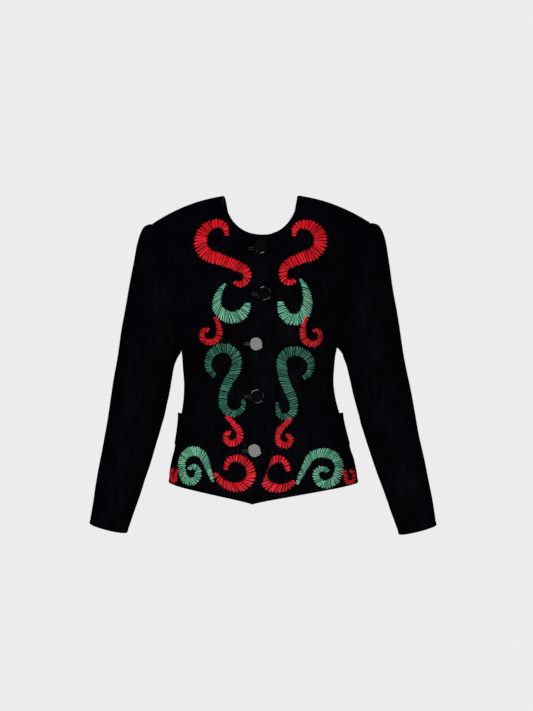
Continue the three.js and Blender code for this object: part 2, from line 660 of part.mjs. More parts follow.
function scrollGeometry(panel, scroll, sideName) {
  const path = scrollPath(scroll, sideName);
  const section = [
    { out: -1, lift: STITCH.lift },
    { out: 0, lift: STITCH.lift },
    { out: 1, lift: STITCH.lift },
    { out: 0.62, lift: STITCH.lift + STITCH.high },
    { out: -0.62, lift: STITCH.lift + STITCH.high },
  ];
  const rings = path.map((place, k) => {
    const half = scrollWidth(scroll, k / (path.length - 1)) / 2;
    const length = Math.hypot(place.toX, place.toZ);
    return section.map(({ out, lift }) => {
      const reach = (out * half) / length;
      return onPanel(panel, place.x - place.toZ * reach, place.z + place.toX * reach, lift);
    });
  });
  clearPanel(panel, rings, 3);
  return rodGeometry(rings);
}

// Raises each ring of something that lies on a panel where the panel would reach into its underside, which
// is made of the first `under` points of every ring.
function clearPanel(panel, rings, under) {
  const raise = rings.map(() => 0);
  const test = (i, from, to) => {
    for (const share of [0.15, 0.35, 0.5, 0.65, 0.85]) {
      const between = from.clone().lerp(to, share);
      const need = between.y - onPanel(panel, between.x, between.z, CLEAR).y;
      for (const ring of [i, i + 1]) if (ring < raise.length) raise[ring] = Math.max(raise[ring], need);
    }
  };
  rings.forEach((ring, i) => {
    const next = rings[i + 1] ?? ring;
    for (let k = 0; k < under; k++)
      for (let m = Math.max(k - 1, 0); m < Math.min(k + 2, under); m++) test(i, ring[k], next[m]);
  });
  rings.forEach((ring, i) => ring.forEach((point) => (point.y -= raise[i])));
}

// A closed rod through a list of rings of points.
function rodGeometry(rings) {
  const count = rings[0].length;
  const last = (rings.length - 1) * count;
  const faces = [];
  for (let i = 0; i < rings.length - 1; i++)
    for (let k = 0; k < count; k++) {
      const [a, b] = [i * count + k, i * count + ((k + 1) % count)];
      faces.push(a, b, b + count, a, b + count, a + count);
    }
  for (let k = 0; k < count / 2 - 1; k++) {
    const m = count - 1 - k; // across the end of the rod from point k
    faces.push(k + 1, k, m, last + k, last + k + 1, last + m);
    if (m - 1 > k + 1) faces.push(k + 1, m, m - 1, last + k + 1, last + m - 1, last + m);
  }
  return outwards(rings.flat(), faces);
}

// ---------------------------------------------------------------- assembly
const group = new THREE.Group();
const materials = Object.fromEntries(
  Object.entries(COLOURS).map(([name, color]) => [
    name,
    new THREE.MeshStandardMaterial({
      color,
      roughness: name === "button" ? 0.25 : 0.85,
      metalness: name === "button" ? 0.6 : 0,
    }),
  ]),
);

function add(name, geometry, material) {
  const mesh = new THREE.Mesh(geometry, materials[material]);
  mesh.name = name;
  group.add(mesh);
  return mesh;
}

const back = backPanel();
const fronts = { left: frontPanel(1), right: frontPanel(-1) };
add("back", wallGeometry(back.outer, back.inner), "velvet");
for (const [name, front] of Object.entries(fronts)) {
  const side = name === "left" ? 1 : -1;
  const sleeve = sleeveWall(side, armholeLoop(front, back, side));
  add(`front_${name}`, wallGeometry(front.outer, front.inner), "velvet");
  add(`sleeve_${name}`, wallGeometry(sleeve.outer, sleeve.inner, true), "velvet");
  add(`pocket_welt_${name}`, pocketWelt(front), "velvet");
  for (const scroll of SCROLLS)
    add(`${scroll.name}_${name}`, scrollGeometry(front, scroll, name), scroll.colour);
}
BUTTON_PLACES.forEach((place, k) => {
  const lips = buttonholeRings(fronts.right, place);
  add(`buttonhole_${k + 1}`, rodGeometry(lips), "velvet");
  seatButton(add(`button_${k + 1}`, buttonGeometry(), "button"), fronts.right, place, lips);
});

export default group;
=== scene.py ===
"""Embroidered velvet jacket, filled out as when it is worn, with the finish of every piece.

The front faces -Y, +Z is up and the wearer's left is +X. The origin lies midway between the two neck points.
Lengths in the tables and grids are millimetres, and a finished mesh is in metres.
"""

import logging
import math
import random
from dataclasses import dataclass, field
from enum import Enum

import bmesh
import bpy
import numpy as np
from mathutils import Matrix, Vector, noise
from mathutils.bvhtree import BVHTree


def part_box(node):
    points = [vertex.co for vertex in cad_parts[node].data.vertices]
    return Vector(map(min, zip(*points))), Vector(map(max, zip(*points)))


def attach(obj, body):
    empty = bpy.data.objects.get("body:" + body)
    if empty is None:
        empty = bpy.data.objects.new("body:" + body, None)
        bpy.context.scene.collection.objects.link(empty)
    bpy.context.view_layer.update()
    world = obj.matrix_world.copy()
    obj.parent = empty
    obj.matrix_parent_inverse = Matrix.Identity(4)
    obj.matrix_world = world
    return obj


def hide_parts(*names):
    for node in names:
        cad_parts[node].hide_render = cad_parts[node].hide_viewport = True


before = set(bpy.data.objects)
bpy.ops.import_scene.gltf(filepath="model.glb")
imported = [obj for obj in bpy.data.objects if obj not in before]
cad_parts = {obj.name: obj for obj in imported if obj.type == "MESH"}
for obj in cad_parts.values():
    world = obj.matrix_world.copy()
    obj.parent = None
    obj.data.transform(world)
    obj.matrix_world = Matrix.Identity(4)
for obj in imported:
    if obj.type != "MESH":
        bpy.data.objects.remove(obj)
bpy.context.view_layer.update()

logging.basicConfig(level=logging.INFO, format="%(message)s")
log = logging.getLogger("jacket")

MM = 0.001

# The garment's driving sizes.
WALL = 2.0  # velvet on its backing
SQUARENESS = 2.2  # exponent of the body's oval section, 2 is an ellipse
NECK_HALF = 74.5  # half the distance between the neck points
NECK_DROPS = {"front": 85.0, "back": 70.0}
SHOULDER_HALF = 218.0
SHOULDER_SLOPE = 0.12
SHOULDER_CURVE = 0.0018
SHOULDER_ROUND = 120.0  # height over which the chest rounds over to the shoulder seam
UNDERARM_Z = -305.0
HEM_FRONT_Z = -605.0
HEM_POINT = -9.0  # x of the hem's point, where both front edges end
HEM_SIDE_Z = -571.0
HEM_BACK_Z = -574.0
OVERLAP = 33.0  # the upper front's edge lies this far past the middle
UNDERLAP = 30.0
CUTAWAY_Z = -495.0  # below this the front edge slants back to the hem's point
CUTAWAY_CURVE = 1.15  # exponent of that slant
LAP_DEPTH = 5.0  # how far the under front sinks beneath the upper one
LAP_FADE = 50.0  # and the width over which it comes up again
BUST_X, BUST_Z, BUST_OUT, BUST_WIDE, BUST_HIGH = 82.0, -228.0, 13.0, 46.0, 54.0
SLEEVE_SQUARENESS = 0.95  # power of the sine and cosine in a sleeve's section

# A panel's columns are counted from its middle edge: so many along the neck, the shoulder and the armhole.
NECK_TICKS, SHOULDER_TICKS, ARMHOLE_TICKS = 5, 3, 10
ARMHOLE_START = NECK_TICKS + SHOULDER_TICKS
ALL_TICKS = ARMHOLE_START + ARMHOLE_TICKS
EDGE_STEPS = (0.0, 1.6, 3.4, 5.6, 8.4)  # distances of the rows next to an edge
SEAM_GROOVE = 1.3  # how deep the pile sinks along a seam
SEAM_REACH = 2.6
TURNED_IN = 9.0  # width of the cloth that is turned in behind an open edge
EDGE_ROLL = 3.5  # distance of the edge's roll from the edge
EDGE_ROUND = 0.7  # rounding of an edge sharper than EDGE_ANGLE degrees
EDGE_ANGLE = 55.0
FOLD_FADE = 0.6  # share of a fold's length over which it fades
SEAM_FADE = 12.0  # creases die away this near to a side seam
PLANE_FADE = 25.0  # and this near to the plane of the side seams

Amount = float | np.ndarray


class Side(Enum):
    """The wearer's left or right, with its sign along X."""

    LEFT = 1
    RIGHT = -1

    @property
    def word(self) -> str:
        """The side as it stands in a piece's name."""
        return self.name.lower()


class Face(Enum):
    """The front or the back of the body, with its sign along Y."""

    FRONT = -1
    BACK = 1

    @property
    def word(self) -> str:
        """The face as it is called in the tables."""
        return self.name.lower()


# ------------------------------------------------------------------ tables of the form
@dataclass(frozen=True)
class BodySection:
    """A level section of the body: half width, depth before and behind the side seams, and its drift in x."""

    z: float
    half: float
    front: float
    back: float
    sway: float
    lean: float


BODY = (
    BodySection(-640, 199, 128, 122, 6, -9),
    BodySection(-576, 190, 123, 117, 5, -9),
    BodySection(-545, 186, 119, 113, 4, -8),
    BodySection(-510, 177, 114, 107, 3, -6),
    BodySection(-434, 158, 102, 92, -1, 0),
    BodySection(-385, 150, 96, 84, -4, 5),
    BodySection(-348, 151, 101, 89, -5, 8),
    BodySection(-305, 156, 110, 98, -4, 9),
    BodySection(-250, 173, 116, 107, -1, 10),
    BodySection(-200, 195, 116, 112, 0, 12),
    BodySection(-150, 211, 109, 112, 0, 9),
    BodySection(-100, 228, 94, 105, 0, 3),
    BodySection(-54, 240, 84, 94, 0, 0),
    BodySection(0, 250, 80, 86, 0, 0),
)


@dataclass(frozen=True)
class ArmholeLevel:
    """How far from the middle the armhole's edge lies at a height, in front and behind."""

    z: float
    front: float
    back: float


ARMHOLE = (
    ArmholeLevel(-305, 156, 156),
    ArmholeLevel(-285, 157.5, 158.5),
    ArmholeLevel(-250, 164.5, 167),
    ArmholeLevel(-200, 177, 181),
    ArmholeLevel(-150, 190, 194),
    ArmholeLevel(-100, 205, 207),
    ArmholeLevel(-54, 218, 218),
)


@dataclass(frozen=True)
class SleeveSection:
    """A section of the left sleeve: its body side, its outer side, half its depth, its middle's y, its drift."""

    inner_x: float
    inner_z: float
    outer_x: float
    outer_z: float
    deep: float
    mid: float
    sway: float


SLEEVE = (
    SleeveSection(156, -305, 218, -54.6, 54, -2, 0),
    SleeveSection(159, -309, 236, -62, 60, -1, 0),
    SleeveSection(161, -314, 249, -94, 64, 0, 0),
    SleeveSection(164, -319, 258, -146, 66, 2, -1),
    SleeveSection(167, -325, 268, -204, 66, 4, -2),
    SleeveSection(170, -332, 278, -262, 64, 5, -2),
    SleeveSection(174.5, -346, 286.5, -320, 62, 6, -2),
    SleeveSection(184, -394, 296, -367, 60, 8, -1),
    SleeveSection(198.5, -453, 306, -427, 57, 7, 0),
    SleeveSection(219, -522, 318, -498, 51, -3, 1),
    SleeveSection(242, -591, 331, -569, 44, -17, 3),
    SleeveSection(269, -671, 343, -652, 38, -33, 4),
)


@dataclass(frozen=True)
class Fold:
    """A soft trough, or a ridge if deep is negative, from one (x, z) to another, seen from the front or back."""

    x: float
    z: float
    to_x: float
    to_z: float
    wide: float
    deep: float


@dataclass(frozen=True)
class SleeveFold:
    """A soft trough in a sleeve, placed by section number and by degrees from the outer side to the front."""

    at: float
    round: float
    long: float
    wide: float
    lean: float
    deep: float


# The largest folds, the same on both sides: x is counted from the middle.
BODY_FOLDS = (
    Fold(118, -372, 142, -424, 15, 3.2),
    Fold(132, -262, 126, -330, 15, 3),
    Fold(96, -120, 138, -205, 18, 2.6),
)
SLEEVE_FOLDS = (
    SleeveFold(4.4, 118, 1.5, 22, 10, 5),
    SleeveFold(3.6, 62, 1.3, 20, -8, 3.5),
    SleeveFold(7.9, 92, 0.9, 30, -34, 4),
    SleeveFold(8.7, 128, 0.8, 26, 26, 3.5),
    SleeveFold(6.2, 246, 1.6, 24, 12, 4),
    SleeveFold(9.4, 285, 1.2, 26, -14, 3),
)

# Finer creases of each front, with x towards the wearer's left.
FRONT_CREASES = (
    Fold(-163, -268, -118, -214, 7, 1.9),
    Fold(-158, -290, -104, -266, 6, 1.5),
    Fold(-150, -236, -126, -172, 8, -1.2),
    Fold(-148, -374, -104, -388, 6, 1.6),
    Fold(-149, -404, -112, -410, 5, 1.2),
    Fold(-104, -296, -116, -360, 9, 1.4),
    Fold(-92, -470, -96, -560, 13, 1.3),
    Fold(-140, -512, -150, -596, 11, -1.5),
    Fold(-104, -52, -176, -92, 12, 1.3),
    Fold(165, -258, 124, -200, 7, 1.8),
    Fold(160, -292, 106, -272, 6, 1.7),
    Fold(148, -226, 132, -160, 9, -1.3),
    Fold(116, -356, 140, -432, 5, 1.9),
    Fold(146, -368, 112, -378, 6, 1.5),
    Fold(149, -398, 118, -408, 5, 1.3),
    Fold(102, -300, 110, -350, 9, 1.3),
    Fold(98, -476, 108, -566, 14, 1.2),
    Fold(146, -508, 152, -590, 10, -1.6),
    Fold(112, -58, 180, -96, 12, 1.2),
)
BACK_CREASES = (
    Fold(-78, -300, -72, -468, 3.2, 1.5),
    Fold(78, -300, 72, -468, 3.2, 1.5),
    Fold(-166, -250, -118, -196, 9, 2.2),
    Fold(-160, -284, -96, -262, 7, 1.8),
    Fold(166, -244, 122, -188, 9, 2.0),
    Fold(158, -286, 90, -268, 7, 1.9),
    Fold(-120, -364, -30, -378, 8, 2.0),
    Fold(-136, -392, -52, -402, 7, 1.6),
    Fold(124, -360, 44, -372, 8, 1.8),
    Fold(132, -396, 60, -400, 7, 1.7),
    Fold(-40, -414, 44, -408, 9, 1.2),
    Fold(-120, -110, -60, -84, 14, 1.6),
    Fold(118, -114, 66, -86, 14, 1.5),
    Fold(-110, -470, -126, -568, 15, -2.0),
    Fold(-20, -480, -26, -570, 18, 1.8),
    Fold(64, -470, 80, -570, 15, -1.8),
    Fold(132, -486, 142, -566, 12, 1.6),
)
SLEEVE_CREASES = {
    Side.LEFT: (
        SleeveFold(3.2, 22, 1.5, 9, 4, 2.0),
        SleeveFold(5.2, 44, 1.4, 10, -5, 1.7),
        SleeveFold(4.3, 88, 1.0, 9, 9, -1.8),
        SleeveFold(2.6, 128, 0.9, 8, -16, 2.2),
        SleeveFold(3.4, 152, 0.6, 12, -22, 2.2),
        SleeveFold(7.3, 128, 0.16, 34, 6, 2.0),
        SleeveFold(7.8, 138, 0.15, 40, -10, 2.2),
        SleeveFold(8.3, 122, 0.14, 32, 12, 1.7),
        SleeveFold(6.6, 66, 1.2, 9, 8, 1.5),
        SleeveFold(9.8, 74, 1.1, 11, -7, 1.4),
        SleeveFold(9.2, 150, 0.9, 10, 6, 1.5),
        SleeveFold(10.2, 128, 0.12, 36, 20, 1.0),
        SleeveFold(7.6, 232, 0.2, 38, -14, 1.8),
        SleeveFold(8.2, 214, 0.18, 30, 10, 1.7),
        SleeveFold(3.4, 208, 0.9, 10, 18, 2.2),
        SleeveFold(4.6, 276, 1.5, 10, -6, 1.9),
        SleeveFold(8.6, 318, 1.6, 12, 5, 1.4),
    ),
    Side.RIGHT: (
        SleeveFold(3.5, 16, 1.7, 10, 3, 1.9),
        SleeveFold(4.9, 52, 1.2, 9, -7, 1.9),
        SleeveFold(3.9, 96, 1.1, 10, 7, -1.7),
        SleeveFold(2.4, 134, 0.8, 8, -14, 2.3),
        SleeveFold(3.2, 158, 0.6, 12, -20, 2.0),
        SleeveFold(7.0, 134, 0.15, 38, 8, 2.1),
        SleeveFold(7.5, 126, 0.15, 34, -8, 1.8),
        SleeveFold(8.1, 142, 0.16, 40, 10, 2.1),
        SleeveFold(6.2, 74, 1.3, 9, -8, 1.6),
        SleeveFold(9.5, 84, 1.0, 10, 8, 1.5),
        SleeveFold(8.9, 158, 1.0, 10, -6, 1.4),
        SleeveFold(10.4, 118, 0.12, 40, -18, 1.0),
        SleeveFold(7.4, 226, 0.18, 36, 12, 1.8),
        SleeveFold(8.4, 240, 0.2, 34, -10, 1.6),
        SleeveFold(3.1, 214, 0.9, 10, 16, 2.1),
        SleeveFold(5.0, 282, 1.4, 11, 6, 1.8),
        SleeveFold(9.0, 326, 1.5, 12, -5, 1.4),
    ),
}


# ------------------------------------------------------------------ small tools
def mix(a: Amount, b: Amount, t: Amount) -> Amount:
    """a where t is 0 and b where t is 1."""
    return a + (b - a) * t


def smooth(t: Amount) -> Amount:
    """A soft step from 0 to 1."""
    held = np.clip(t, 0, 1)
    return held * held * (3 - 2 * held)


def bell(x: Amount) -> Amount:
    """A soft bump, 1 at 0."""
    return np.exp(-np.square(x))


def signed_power(value: np.ndarray, power: float) -> np.ndarray:
    """A power that keeps the sign of its value."""
    return np.sign(value) * np.abs(value) ** power


def along(table: tuple, column: str, t: np.ndarray) -> np.ndarray:
    """Reads a column of a table on a smooth curve through every row.

    Args:
        table: rows of one dataclass.
        column: the field to read.
        t: places counted in rows.

    Returns:
        The values at those places.
    """
    values = np.array([getattr(row, column) for row in table], float)
    last = len(values) - 1
    t = np.asarray(t, float)
    row = np.clip(np.floor(t), 0, last - 1).astype(int)
    before, start, end, after = (values[np.clip(row + k, 0, last)] for k in (-1, 0, 1, 2))
    s = t - row
    curve = 2 * start + (end - before) * s + (2 * before - 5 * start + 4 * end - after) * s**2
    return 0.5 * (curve + (3 * start - 3 * end + after - before) * s**3)


def at_height(table: tuple, column: str, z: Amount) -> np.ndarray:
    """Reads a column of a table whose rows rise in z, at heights z.

    Args:
        table: rows of one dataclass that has a z.
        column: the field to read.
        z: the heights.

    Returns:
        The values at those heights.
    """
    heights = np.array([row.z for row in table], float)
    z = np.asarray(z, float)
    row = np.clip(np.searchsorted(heights, z), 1, len(heights) - 1)
    share = (z - heights[row - 1]) / (heights[row] - heights[row - 1])
    return along(table, column, row - 1 + share)


def unit(vectors: np.ndarray) -> np.ndarray:
    """The vectors at length 1."""
    return vectors / np.maximum(np.linalg.norm(vectors, axis=-1, keepdims=True), 1e-9)


def lengths_along(points: np.ndarray, axis: int) -> np.ndarray:
    """Distance walked over a grid of points along one of its two axes, from 0.

    Args:
        points: rows by columns of points.
        axis: 0 to walk from row to row, 1 from column to column.

    Returns:
        The distance at each point.
    """
    steps = np.linalg.norm(np.diff(points, axis=axis), axis=-1)
    start = np.zeros_like(np.take(steps, [0], axis=axis))
    return np.cumsum(np.concatenate([start, steps], axis=axis), axis=axis)


def fold_depth(folds: tuple[Fold, ...], x: np.ndarray, z: np.ndarray) -> np.ndarray:
    """How deep straight folds cut in at the places (x, z).

    Args:
        folds: the folds.
        x: the places' x.
        z: their heights.

    Returns:
        The depths in mm.
    """
    total = np.zeros_like(x)
    for fold in folds:
        run = np.array([fold.to_x - fold.x, fold.to_z - fold.z])
        squared = float(run @ run)
        dx, dz = x - fold.x, z - fold.z
        share = (dx * run[0] + dz * run[1]) / squared
        aside = np.abs(dx * run[1] - dz * run[0]) / math.sqrt(squared)
        total += fold.deep * bell(aside / fold.wide) * bell((share - 0.5) / FOLD_FADE)
    return total


def unevenness(points: np.ndarray, grain: float, seed: float) -> np.ndarray:
    """Soft noise from -1 to 1 over a grid.

    Args:
        points: the grid.
        grain: the size of a bump in mm.
        seed: shifts the pattern, so that no two pieces are alike.

    Returns:
        The noise at each point.
    """
    flat = points.reshape(-1, 3) / grain
    values = [noise.noise(Vector((x + seed, y, z))) for x, y, z in flat]
    return np.array(values).reshape(points.shape[:-1])


def smooth_object(name: str, mesh: bmesh.types.BMesh, *materials: bpy.types.Material) -> bpy.types.Object:
    """Makes a smoothly shaded object of a mesh.

    Args:
        name: the object's name.
        mesh: its faces in metres, which are used up.
        *materials: its materials in order.

    Returns:
        The new object, linked to the scene.
    """
    data = bpy.data.meshes.new(name)
    mesh.to_mesh(data)
    mesh.free()
    data.polygons.foreach_set("use_smooth", [True] * len(data.polygons))
    for material in materials:
        data.materials.append(material)
    piece = bpy.data.objects.new(name, data)
    bpy.context.scene.collection.objects.link(piece)
    return piece


def spun(profile: list, steps: int, merge: float) -> bmesh.types.BMesh:
    """Spins a profile once round Z.

    Args:
        profile: the distance out and the height of each of its points, in metres.
        steps: the number of faces round.
        merge: points nearer to each other than this are joined.

    Returns:
        The new mesh, with its faces turned outwards.
    """
    mesh = bmesh.new()
    ring = [mesh.verts.new((across, 0, up)) for across, up in profile]
    edges = [mesh.edges.new(pair) for pair in zip(ring[:-1], ring[1:])]
    bmesh.ops.spin(
        mesh, geom=ring + edges, axis=(0, 0, 1), cent=(0, 0, 0), angle=math.tau, steps=steps, use_merge=True
    )
    bmesh.ops.remove_doubles(mesh, verts=mesh.verts, dist=merge)
    bmesh.ops.recalc_face_normals(mesh, faces=mesh.faces)
    return mesh


# ------------------------------------------------------------------ materials
def linear(code: str) -> tuple[float, float, float, float]:
    """An sRGB hex colour as linear red, green, blue and 1."""
    channels = [int(code[k : k + 2], 16) / 255 for k in (1, 3, 5)]
    return (*[c / 12.92 if c <= 0.04045 else ((c + 0.055) / 1.055) ** 2.4 for c in channels], 1.0)


def add_node(tree: bpy.types.NodeTree, kind: str, inputs: dict | None = None, **settings) -> bpy.types.Node:
    """Adds a node with its settings, and links or sets its inputs.

    Args:
        tree: the node tree it goes into.
        kind: the node's type without its ShaderNode prefix.
        inputs: an output socket or a plain value for each input, by name or number.
        **settings: the node's own properties.

    Returns:
        The new node.
    """
    node = tree.nodes.new("ShaderNode" + kind)
    for name, value in settings.items():
        setattr(node, name, value)
    for socket, value in (inputs or {}).items():
        if isinstance(value, bpy.types.NodeSocket):
            tree.links.new(value, node.inputs[socket])
        else:
            node.inputs[socket].default_value = value
    return node


def new_material(name: str) -> tuple[bpy.types.Material, bpy.types.NodeTree]:
    """An empty node material and its tree.

    Args:
        name: the material's name.

    Returns:
        The material and its node tree.
    """
    material = bpy.data.materials.new(name)
    material.use_nodes = True
    material.node_tree.nodes.clear()
    return material, material.node_tree


def finish_material(tree: bpy.types.NodeTree, inputs: dict) -> None:
    """Ends a material's tree in one Principled surface with these inputs."""
    shader = add_node(tree, "BsdfPrincipled", inputs)
    add_node(tree, "OutputMaterial", {"Surface": shader.outputs[0]})


@dataclass(frozen=True)
class Velvet:
    """Black cotton velvet, cut pile: it swallows light and glows faintly where it turns away."""

    name: str = "cotton_velvet"
    deep: str = "#010103"
    # colour where the nap lies another way: painted sheen, lighter than the deep colour
    brushed: str = "#040409"
    sheen: float = 0.016
    # in these patches and streaks the velvet's colour is painted lighter, as sheen of its nap, and its roughness
    # changes with them
    patch_mm: float = 46.0  # hand-sized patches where the nap lies another way
    streak_mm: float = 9.0  # brushing lengthwise
    pile_mm: float = 1.5  # the pile itself is about 0.3 mm, drawn coarser so that it shows

    def make(self) -> bpy.types.Material:
        """The pile's material, on the cloth's own place in space.

        Returns:
            The new material.
        """
        material, tree = new_material(self.name)
        place = add_node(tree, "TexCoord").outputs["Object"]
        stretched = add_node(tree, "Mapping", {"Vector": place, "Scale": (1, 1, 0.16)}).outputs[0]
        patch = add_node(tree, "TexNoise", {"Vector": place, "Scale": 1 / (self.patch_mm * MM), "Detail": 3.0})
        streak = add_node(tree, "TexNoise", {"Vector": stretched, "Scale": 1 / (self.streak_mm * MM), "Detail": 4.0})
        pile = add_node(tree, "TexNoise", {"Vector": place, "Scale": 1 / (self.pile_mm * MM), "Detail": 2.0})
        blend = add_node(tree, "Math", {0: patch.outputs[0], 1: streak.outputs[0]}, operation="MULTIPLY")
        # mask of the nap's patches and streaks, which sets the painted sheen and the roughness
        nap_and_sheen = add_node(tree, "MapRange", {"Value": blend.outputs[0], "From Min": 0.16, "From Max": 0.36})
        # painted sheen: the colour lightens from the deep colour towards the brushed one in the patches and streaks
        colour = add_node(
            tree, "Mix", {"Factor": nap_and_sheen.outputs[0], "A": linear(self.deep), "B": linear(self.brushed)},
            data_type="RGBA",
        )  # fmt: skip
        rough = add_node(tree, "MapRange", {"Value": nap_and_sheen.outputs[0], "To Min": 0.95, "To Max": 0.72})
        bump = add_node(tree, "Bump", {"Height": pile.outputs[0], "Strength": 0.35, "Distance": 0.5 * MM})
        finish_material(
            tree,
            {
                "Base Color": colour.outputs["Result"],
                "Roughness": rough.outputs[0],
                "Specular IOR Level": 0.02,
                "Sheen Weight": self.sheen,
                "Sheen Roughness": 0.38,
                "Sheen Tint": linear("#8a8ba6"),
                "Normal": bump.outputs[0],
            },
        )
        return material


@dataclass(frozen=True)
class WovenBacking:
    """Plain-woven black cotton, the wrong side of the velvet: dull, with a fine even grid of threads."""

    name: str = "woven_cotton_backing"
    thread: str = "#100f13"
    gap: str = "#050506"
    thread_mm: float = 1.4  # the threads are about 0.4 mm, drawn coarser so that they show

    def make(self) -> bpy.types.Material:
        """The backing's material, its threads on the cloth's UV map, which is in metres.

        Returns:
            The new material.
        """
        material, tree = new_material(self.name)
        cloth = add_node(tree, "UVMap", uv_map="cloth").outputs[0]
        scale = 0.05 / (self.thread_mm * MM)  # a wave texture has a band every 1/20 at scale 1
        bands = [
            add_node(
                tree, "TexWave", {"Vector": cloth, "Scale": scale, "Distortion": 0.6, "Detail": 1.0},
                bands_direction=axis,
            ).outputs[1]
            for axis in ("X", "Y")
        ]  # fmt: skip
        weave = add_node(tree, "Math", {0: bands[0], 1: bands[1]}, operation="MULTIPLY").outputs[0]
        colour = add_node(
            tree, "Mix", {"Factor": weave, "A": linear(self.gap), "B": linear(self.thread)}, data_type="RGBA"
        )
        bump = add_node(tree, "Bump", {"Height": weave, "Strength": 0.4, "Distance": 0.3 * MM})
        finish_material(
            tree,
            {
                "Base Color": colour.outputs["Result"],
                "Roughness": 0.92,
                "Specular IOR Level": 0.2,
                "Sheen Weight": 0.05,
                "Normal": bump.outputs[0],
            },
        )
        return material


@dataclass(frozen=True)
class Yarn:
    """Thick soft embroidery cotton in several plies: dull, with painted shade in the grooves between the plies."""

    name: str
    slot: str
    # the yarn's lit colour, body colour and shaded colour: each stitch's random tone picks among them, painted
    # highlight lightens it towards the first and painted shade darkens it towards the last
    light: str
    body: str
    dark: str
    # painted highlight: how much lighter a stitch is painted at its ends
    tips: float = 0.3  # how much lighter a stitch is at its ends
    # painted shade beside the yarn: the share of the tone left where the stitches meet
    gap: float = 0.12  # what is left of the tone down beside the yarn
    plies: int = 5

    def make(self) -> bpy.types.Material:
        """The yarn's material: painted shade darkens it down its sides, away from its crest, and a painted highlight
        lightens its ends.

        Returns:
            The new material.
        """
        material, tree = new_material(self.name)
        stitch = add_node(tree, "UVMap", uv_map="stitch").outputs[0]
        tone, crest, end = (
            add_node(tree, "Attribute", attribute_name=name).outputs["Fac"] for name in ("tone", "crest", "end")
        )
        twisted = add_node(
            tree, "Mapping", {"Vector": stitch, "Rotation": (0, 0, math.radians(7)), "Scale": (self.plies, 0.8, 1)}
        ).outputs[0]
        ply = add_node(
            tree, "TexWave", {"Vector": twisted, "Scale": 0.32, "Distortion": 1.2, "Detail": 2.0, "Detail Scale": 2.0}
        ).outputs[1]
        place = add_node(tree, "TexCoord").outputs["Object"]
        fuzz = add_node(tree, "TexNoise", {"Vector": place, "Scale": 1 / (1.3 * MM), "Detail": 2.0}).outputs[0]
        # painted shade: the grooves between the plies are darker, on each stitch's random tone
        shade = add_node(tree, "Math", {0: ply, 1: 0.16, 2: tone}, operation="MULTIPLY_ADD").outputs[0]
        shade = add_node(tree, "Math", {0: fuzz, 1: 0.25, 2: shade}, operation="MULTIPLY_ADD").outputs[0]
        # painted shade: the yarn darkens down its sides, away from its crest
        painted_side_shade = add_node(tree, "MapRange", {"Value": crest, "From Max": 0.85, "To Min": self.gap}).outputs[0]
        shade = add_node(tree, "Math", {0: shade, 1: painted_side_shade}, operation="MULTIPLY").outputs[0]
        # painted highlight at the ends of each stitch
        shade = add_node(tree, "Math", {0: end, 1: self.tips, 2: shade}, operation="MULTIPLY_ADD").outputs[0]
        # the ramp runs from the shaded colour through the body to the lit colour
        ramp = add_node(tree, "ValToRGB", {"Fac": shade})
        stops = ramp.color_ramp.elements
        stops[0].color, stops[1].color = linear(self.dark), linear(self.light)
        stops.new(0.5).color = linear(self.body)
        height = add_node(tree, "Math", {0: fuzz, 1: 0.4, 2: ply}, operation="MULTIPLY_ADD").outputs[0]
        bump = add_node(tree, "Bump", {"Height": height, "Strength": 0.4, "Distance": 0.4 * MM})
        finish_material(
            tree,
            {
                "Base Color": ramp.outputs[0],
                "Roughness": 0.6,
                "Specular IOR Level": 0.16,
                "Sheen Weight": 0.06,
                "Sheen Roughness": 0.45,
                "Sheen Tint": linear(self.light),
                "Normal": bump.outputs[0],
            },
        )
        return material


# each yarn's lit, body and shaded colours, which carry its painted highlight and painted shade besides its own tone
RED = Yarn("crimson_stranded_cotton", "red_thread", light="#ee2233", body="#c20b18", dark="#3c0105")
MINT = Yarn("mint_stranded_cotton", "mint_thread", light="#90cbab", body="#4f9a79", dark="#0d3021", tips=0.35)
GREEN = Yarn("bottle_green_stranded_cotton", "green_thread", light="#458a6e", body="#1b523e", dark="#052018", tips=0.5)


@dataclass(frozen=True)
class SatinBinding:
    """Black silk satin on the lips of the buttonholes: a narrow soft gleam along each cord."""

    name: str = "black_satin_binding"

    def make(self) -> bpy.types.Material:
        """The binding's material, with fine ribs across the cord.

        Returns:
            The new material.
        """
        material, tree = new_material(self.name)
        place = add_node(tree, "TexCoord").outputs["Object"]
        rib = add_node(tree, "TexWave", {"Vector": place, "Scale": 0.05 / (1.2 * MM), "Distortion": 1.5})
        colour = add_node(
            tree, "Mix", {"Factor": rib.outputs[1], "A": linear("#020203"), "B": linear("#060608")},
            data_type="RGBA",
        )  # fmt: skip
        bump = add_node(tree, "Bump", {"Height": rib.outputs[1], "Strength": 0.25, "Distance": 0.2 * MM})
        finish_material(
            tree,
            {
                "Base Color": colour.outputs["Result"],
                "Roughness": 0.36,
                "Specular IOR Level": 0.3,
                "Normal": bump.outputs[0],
            },
        )
        return material


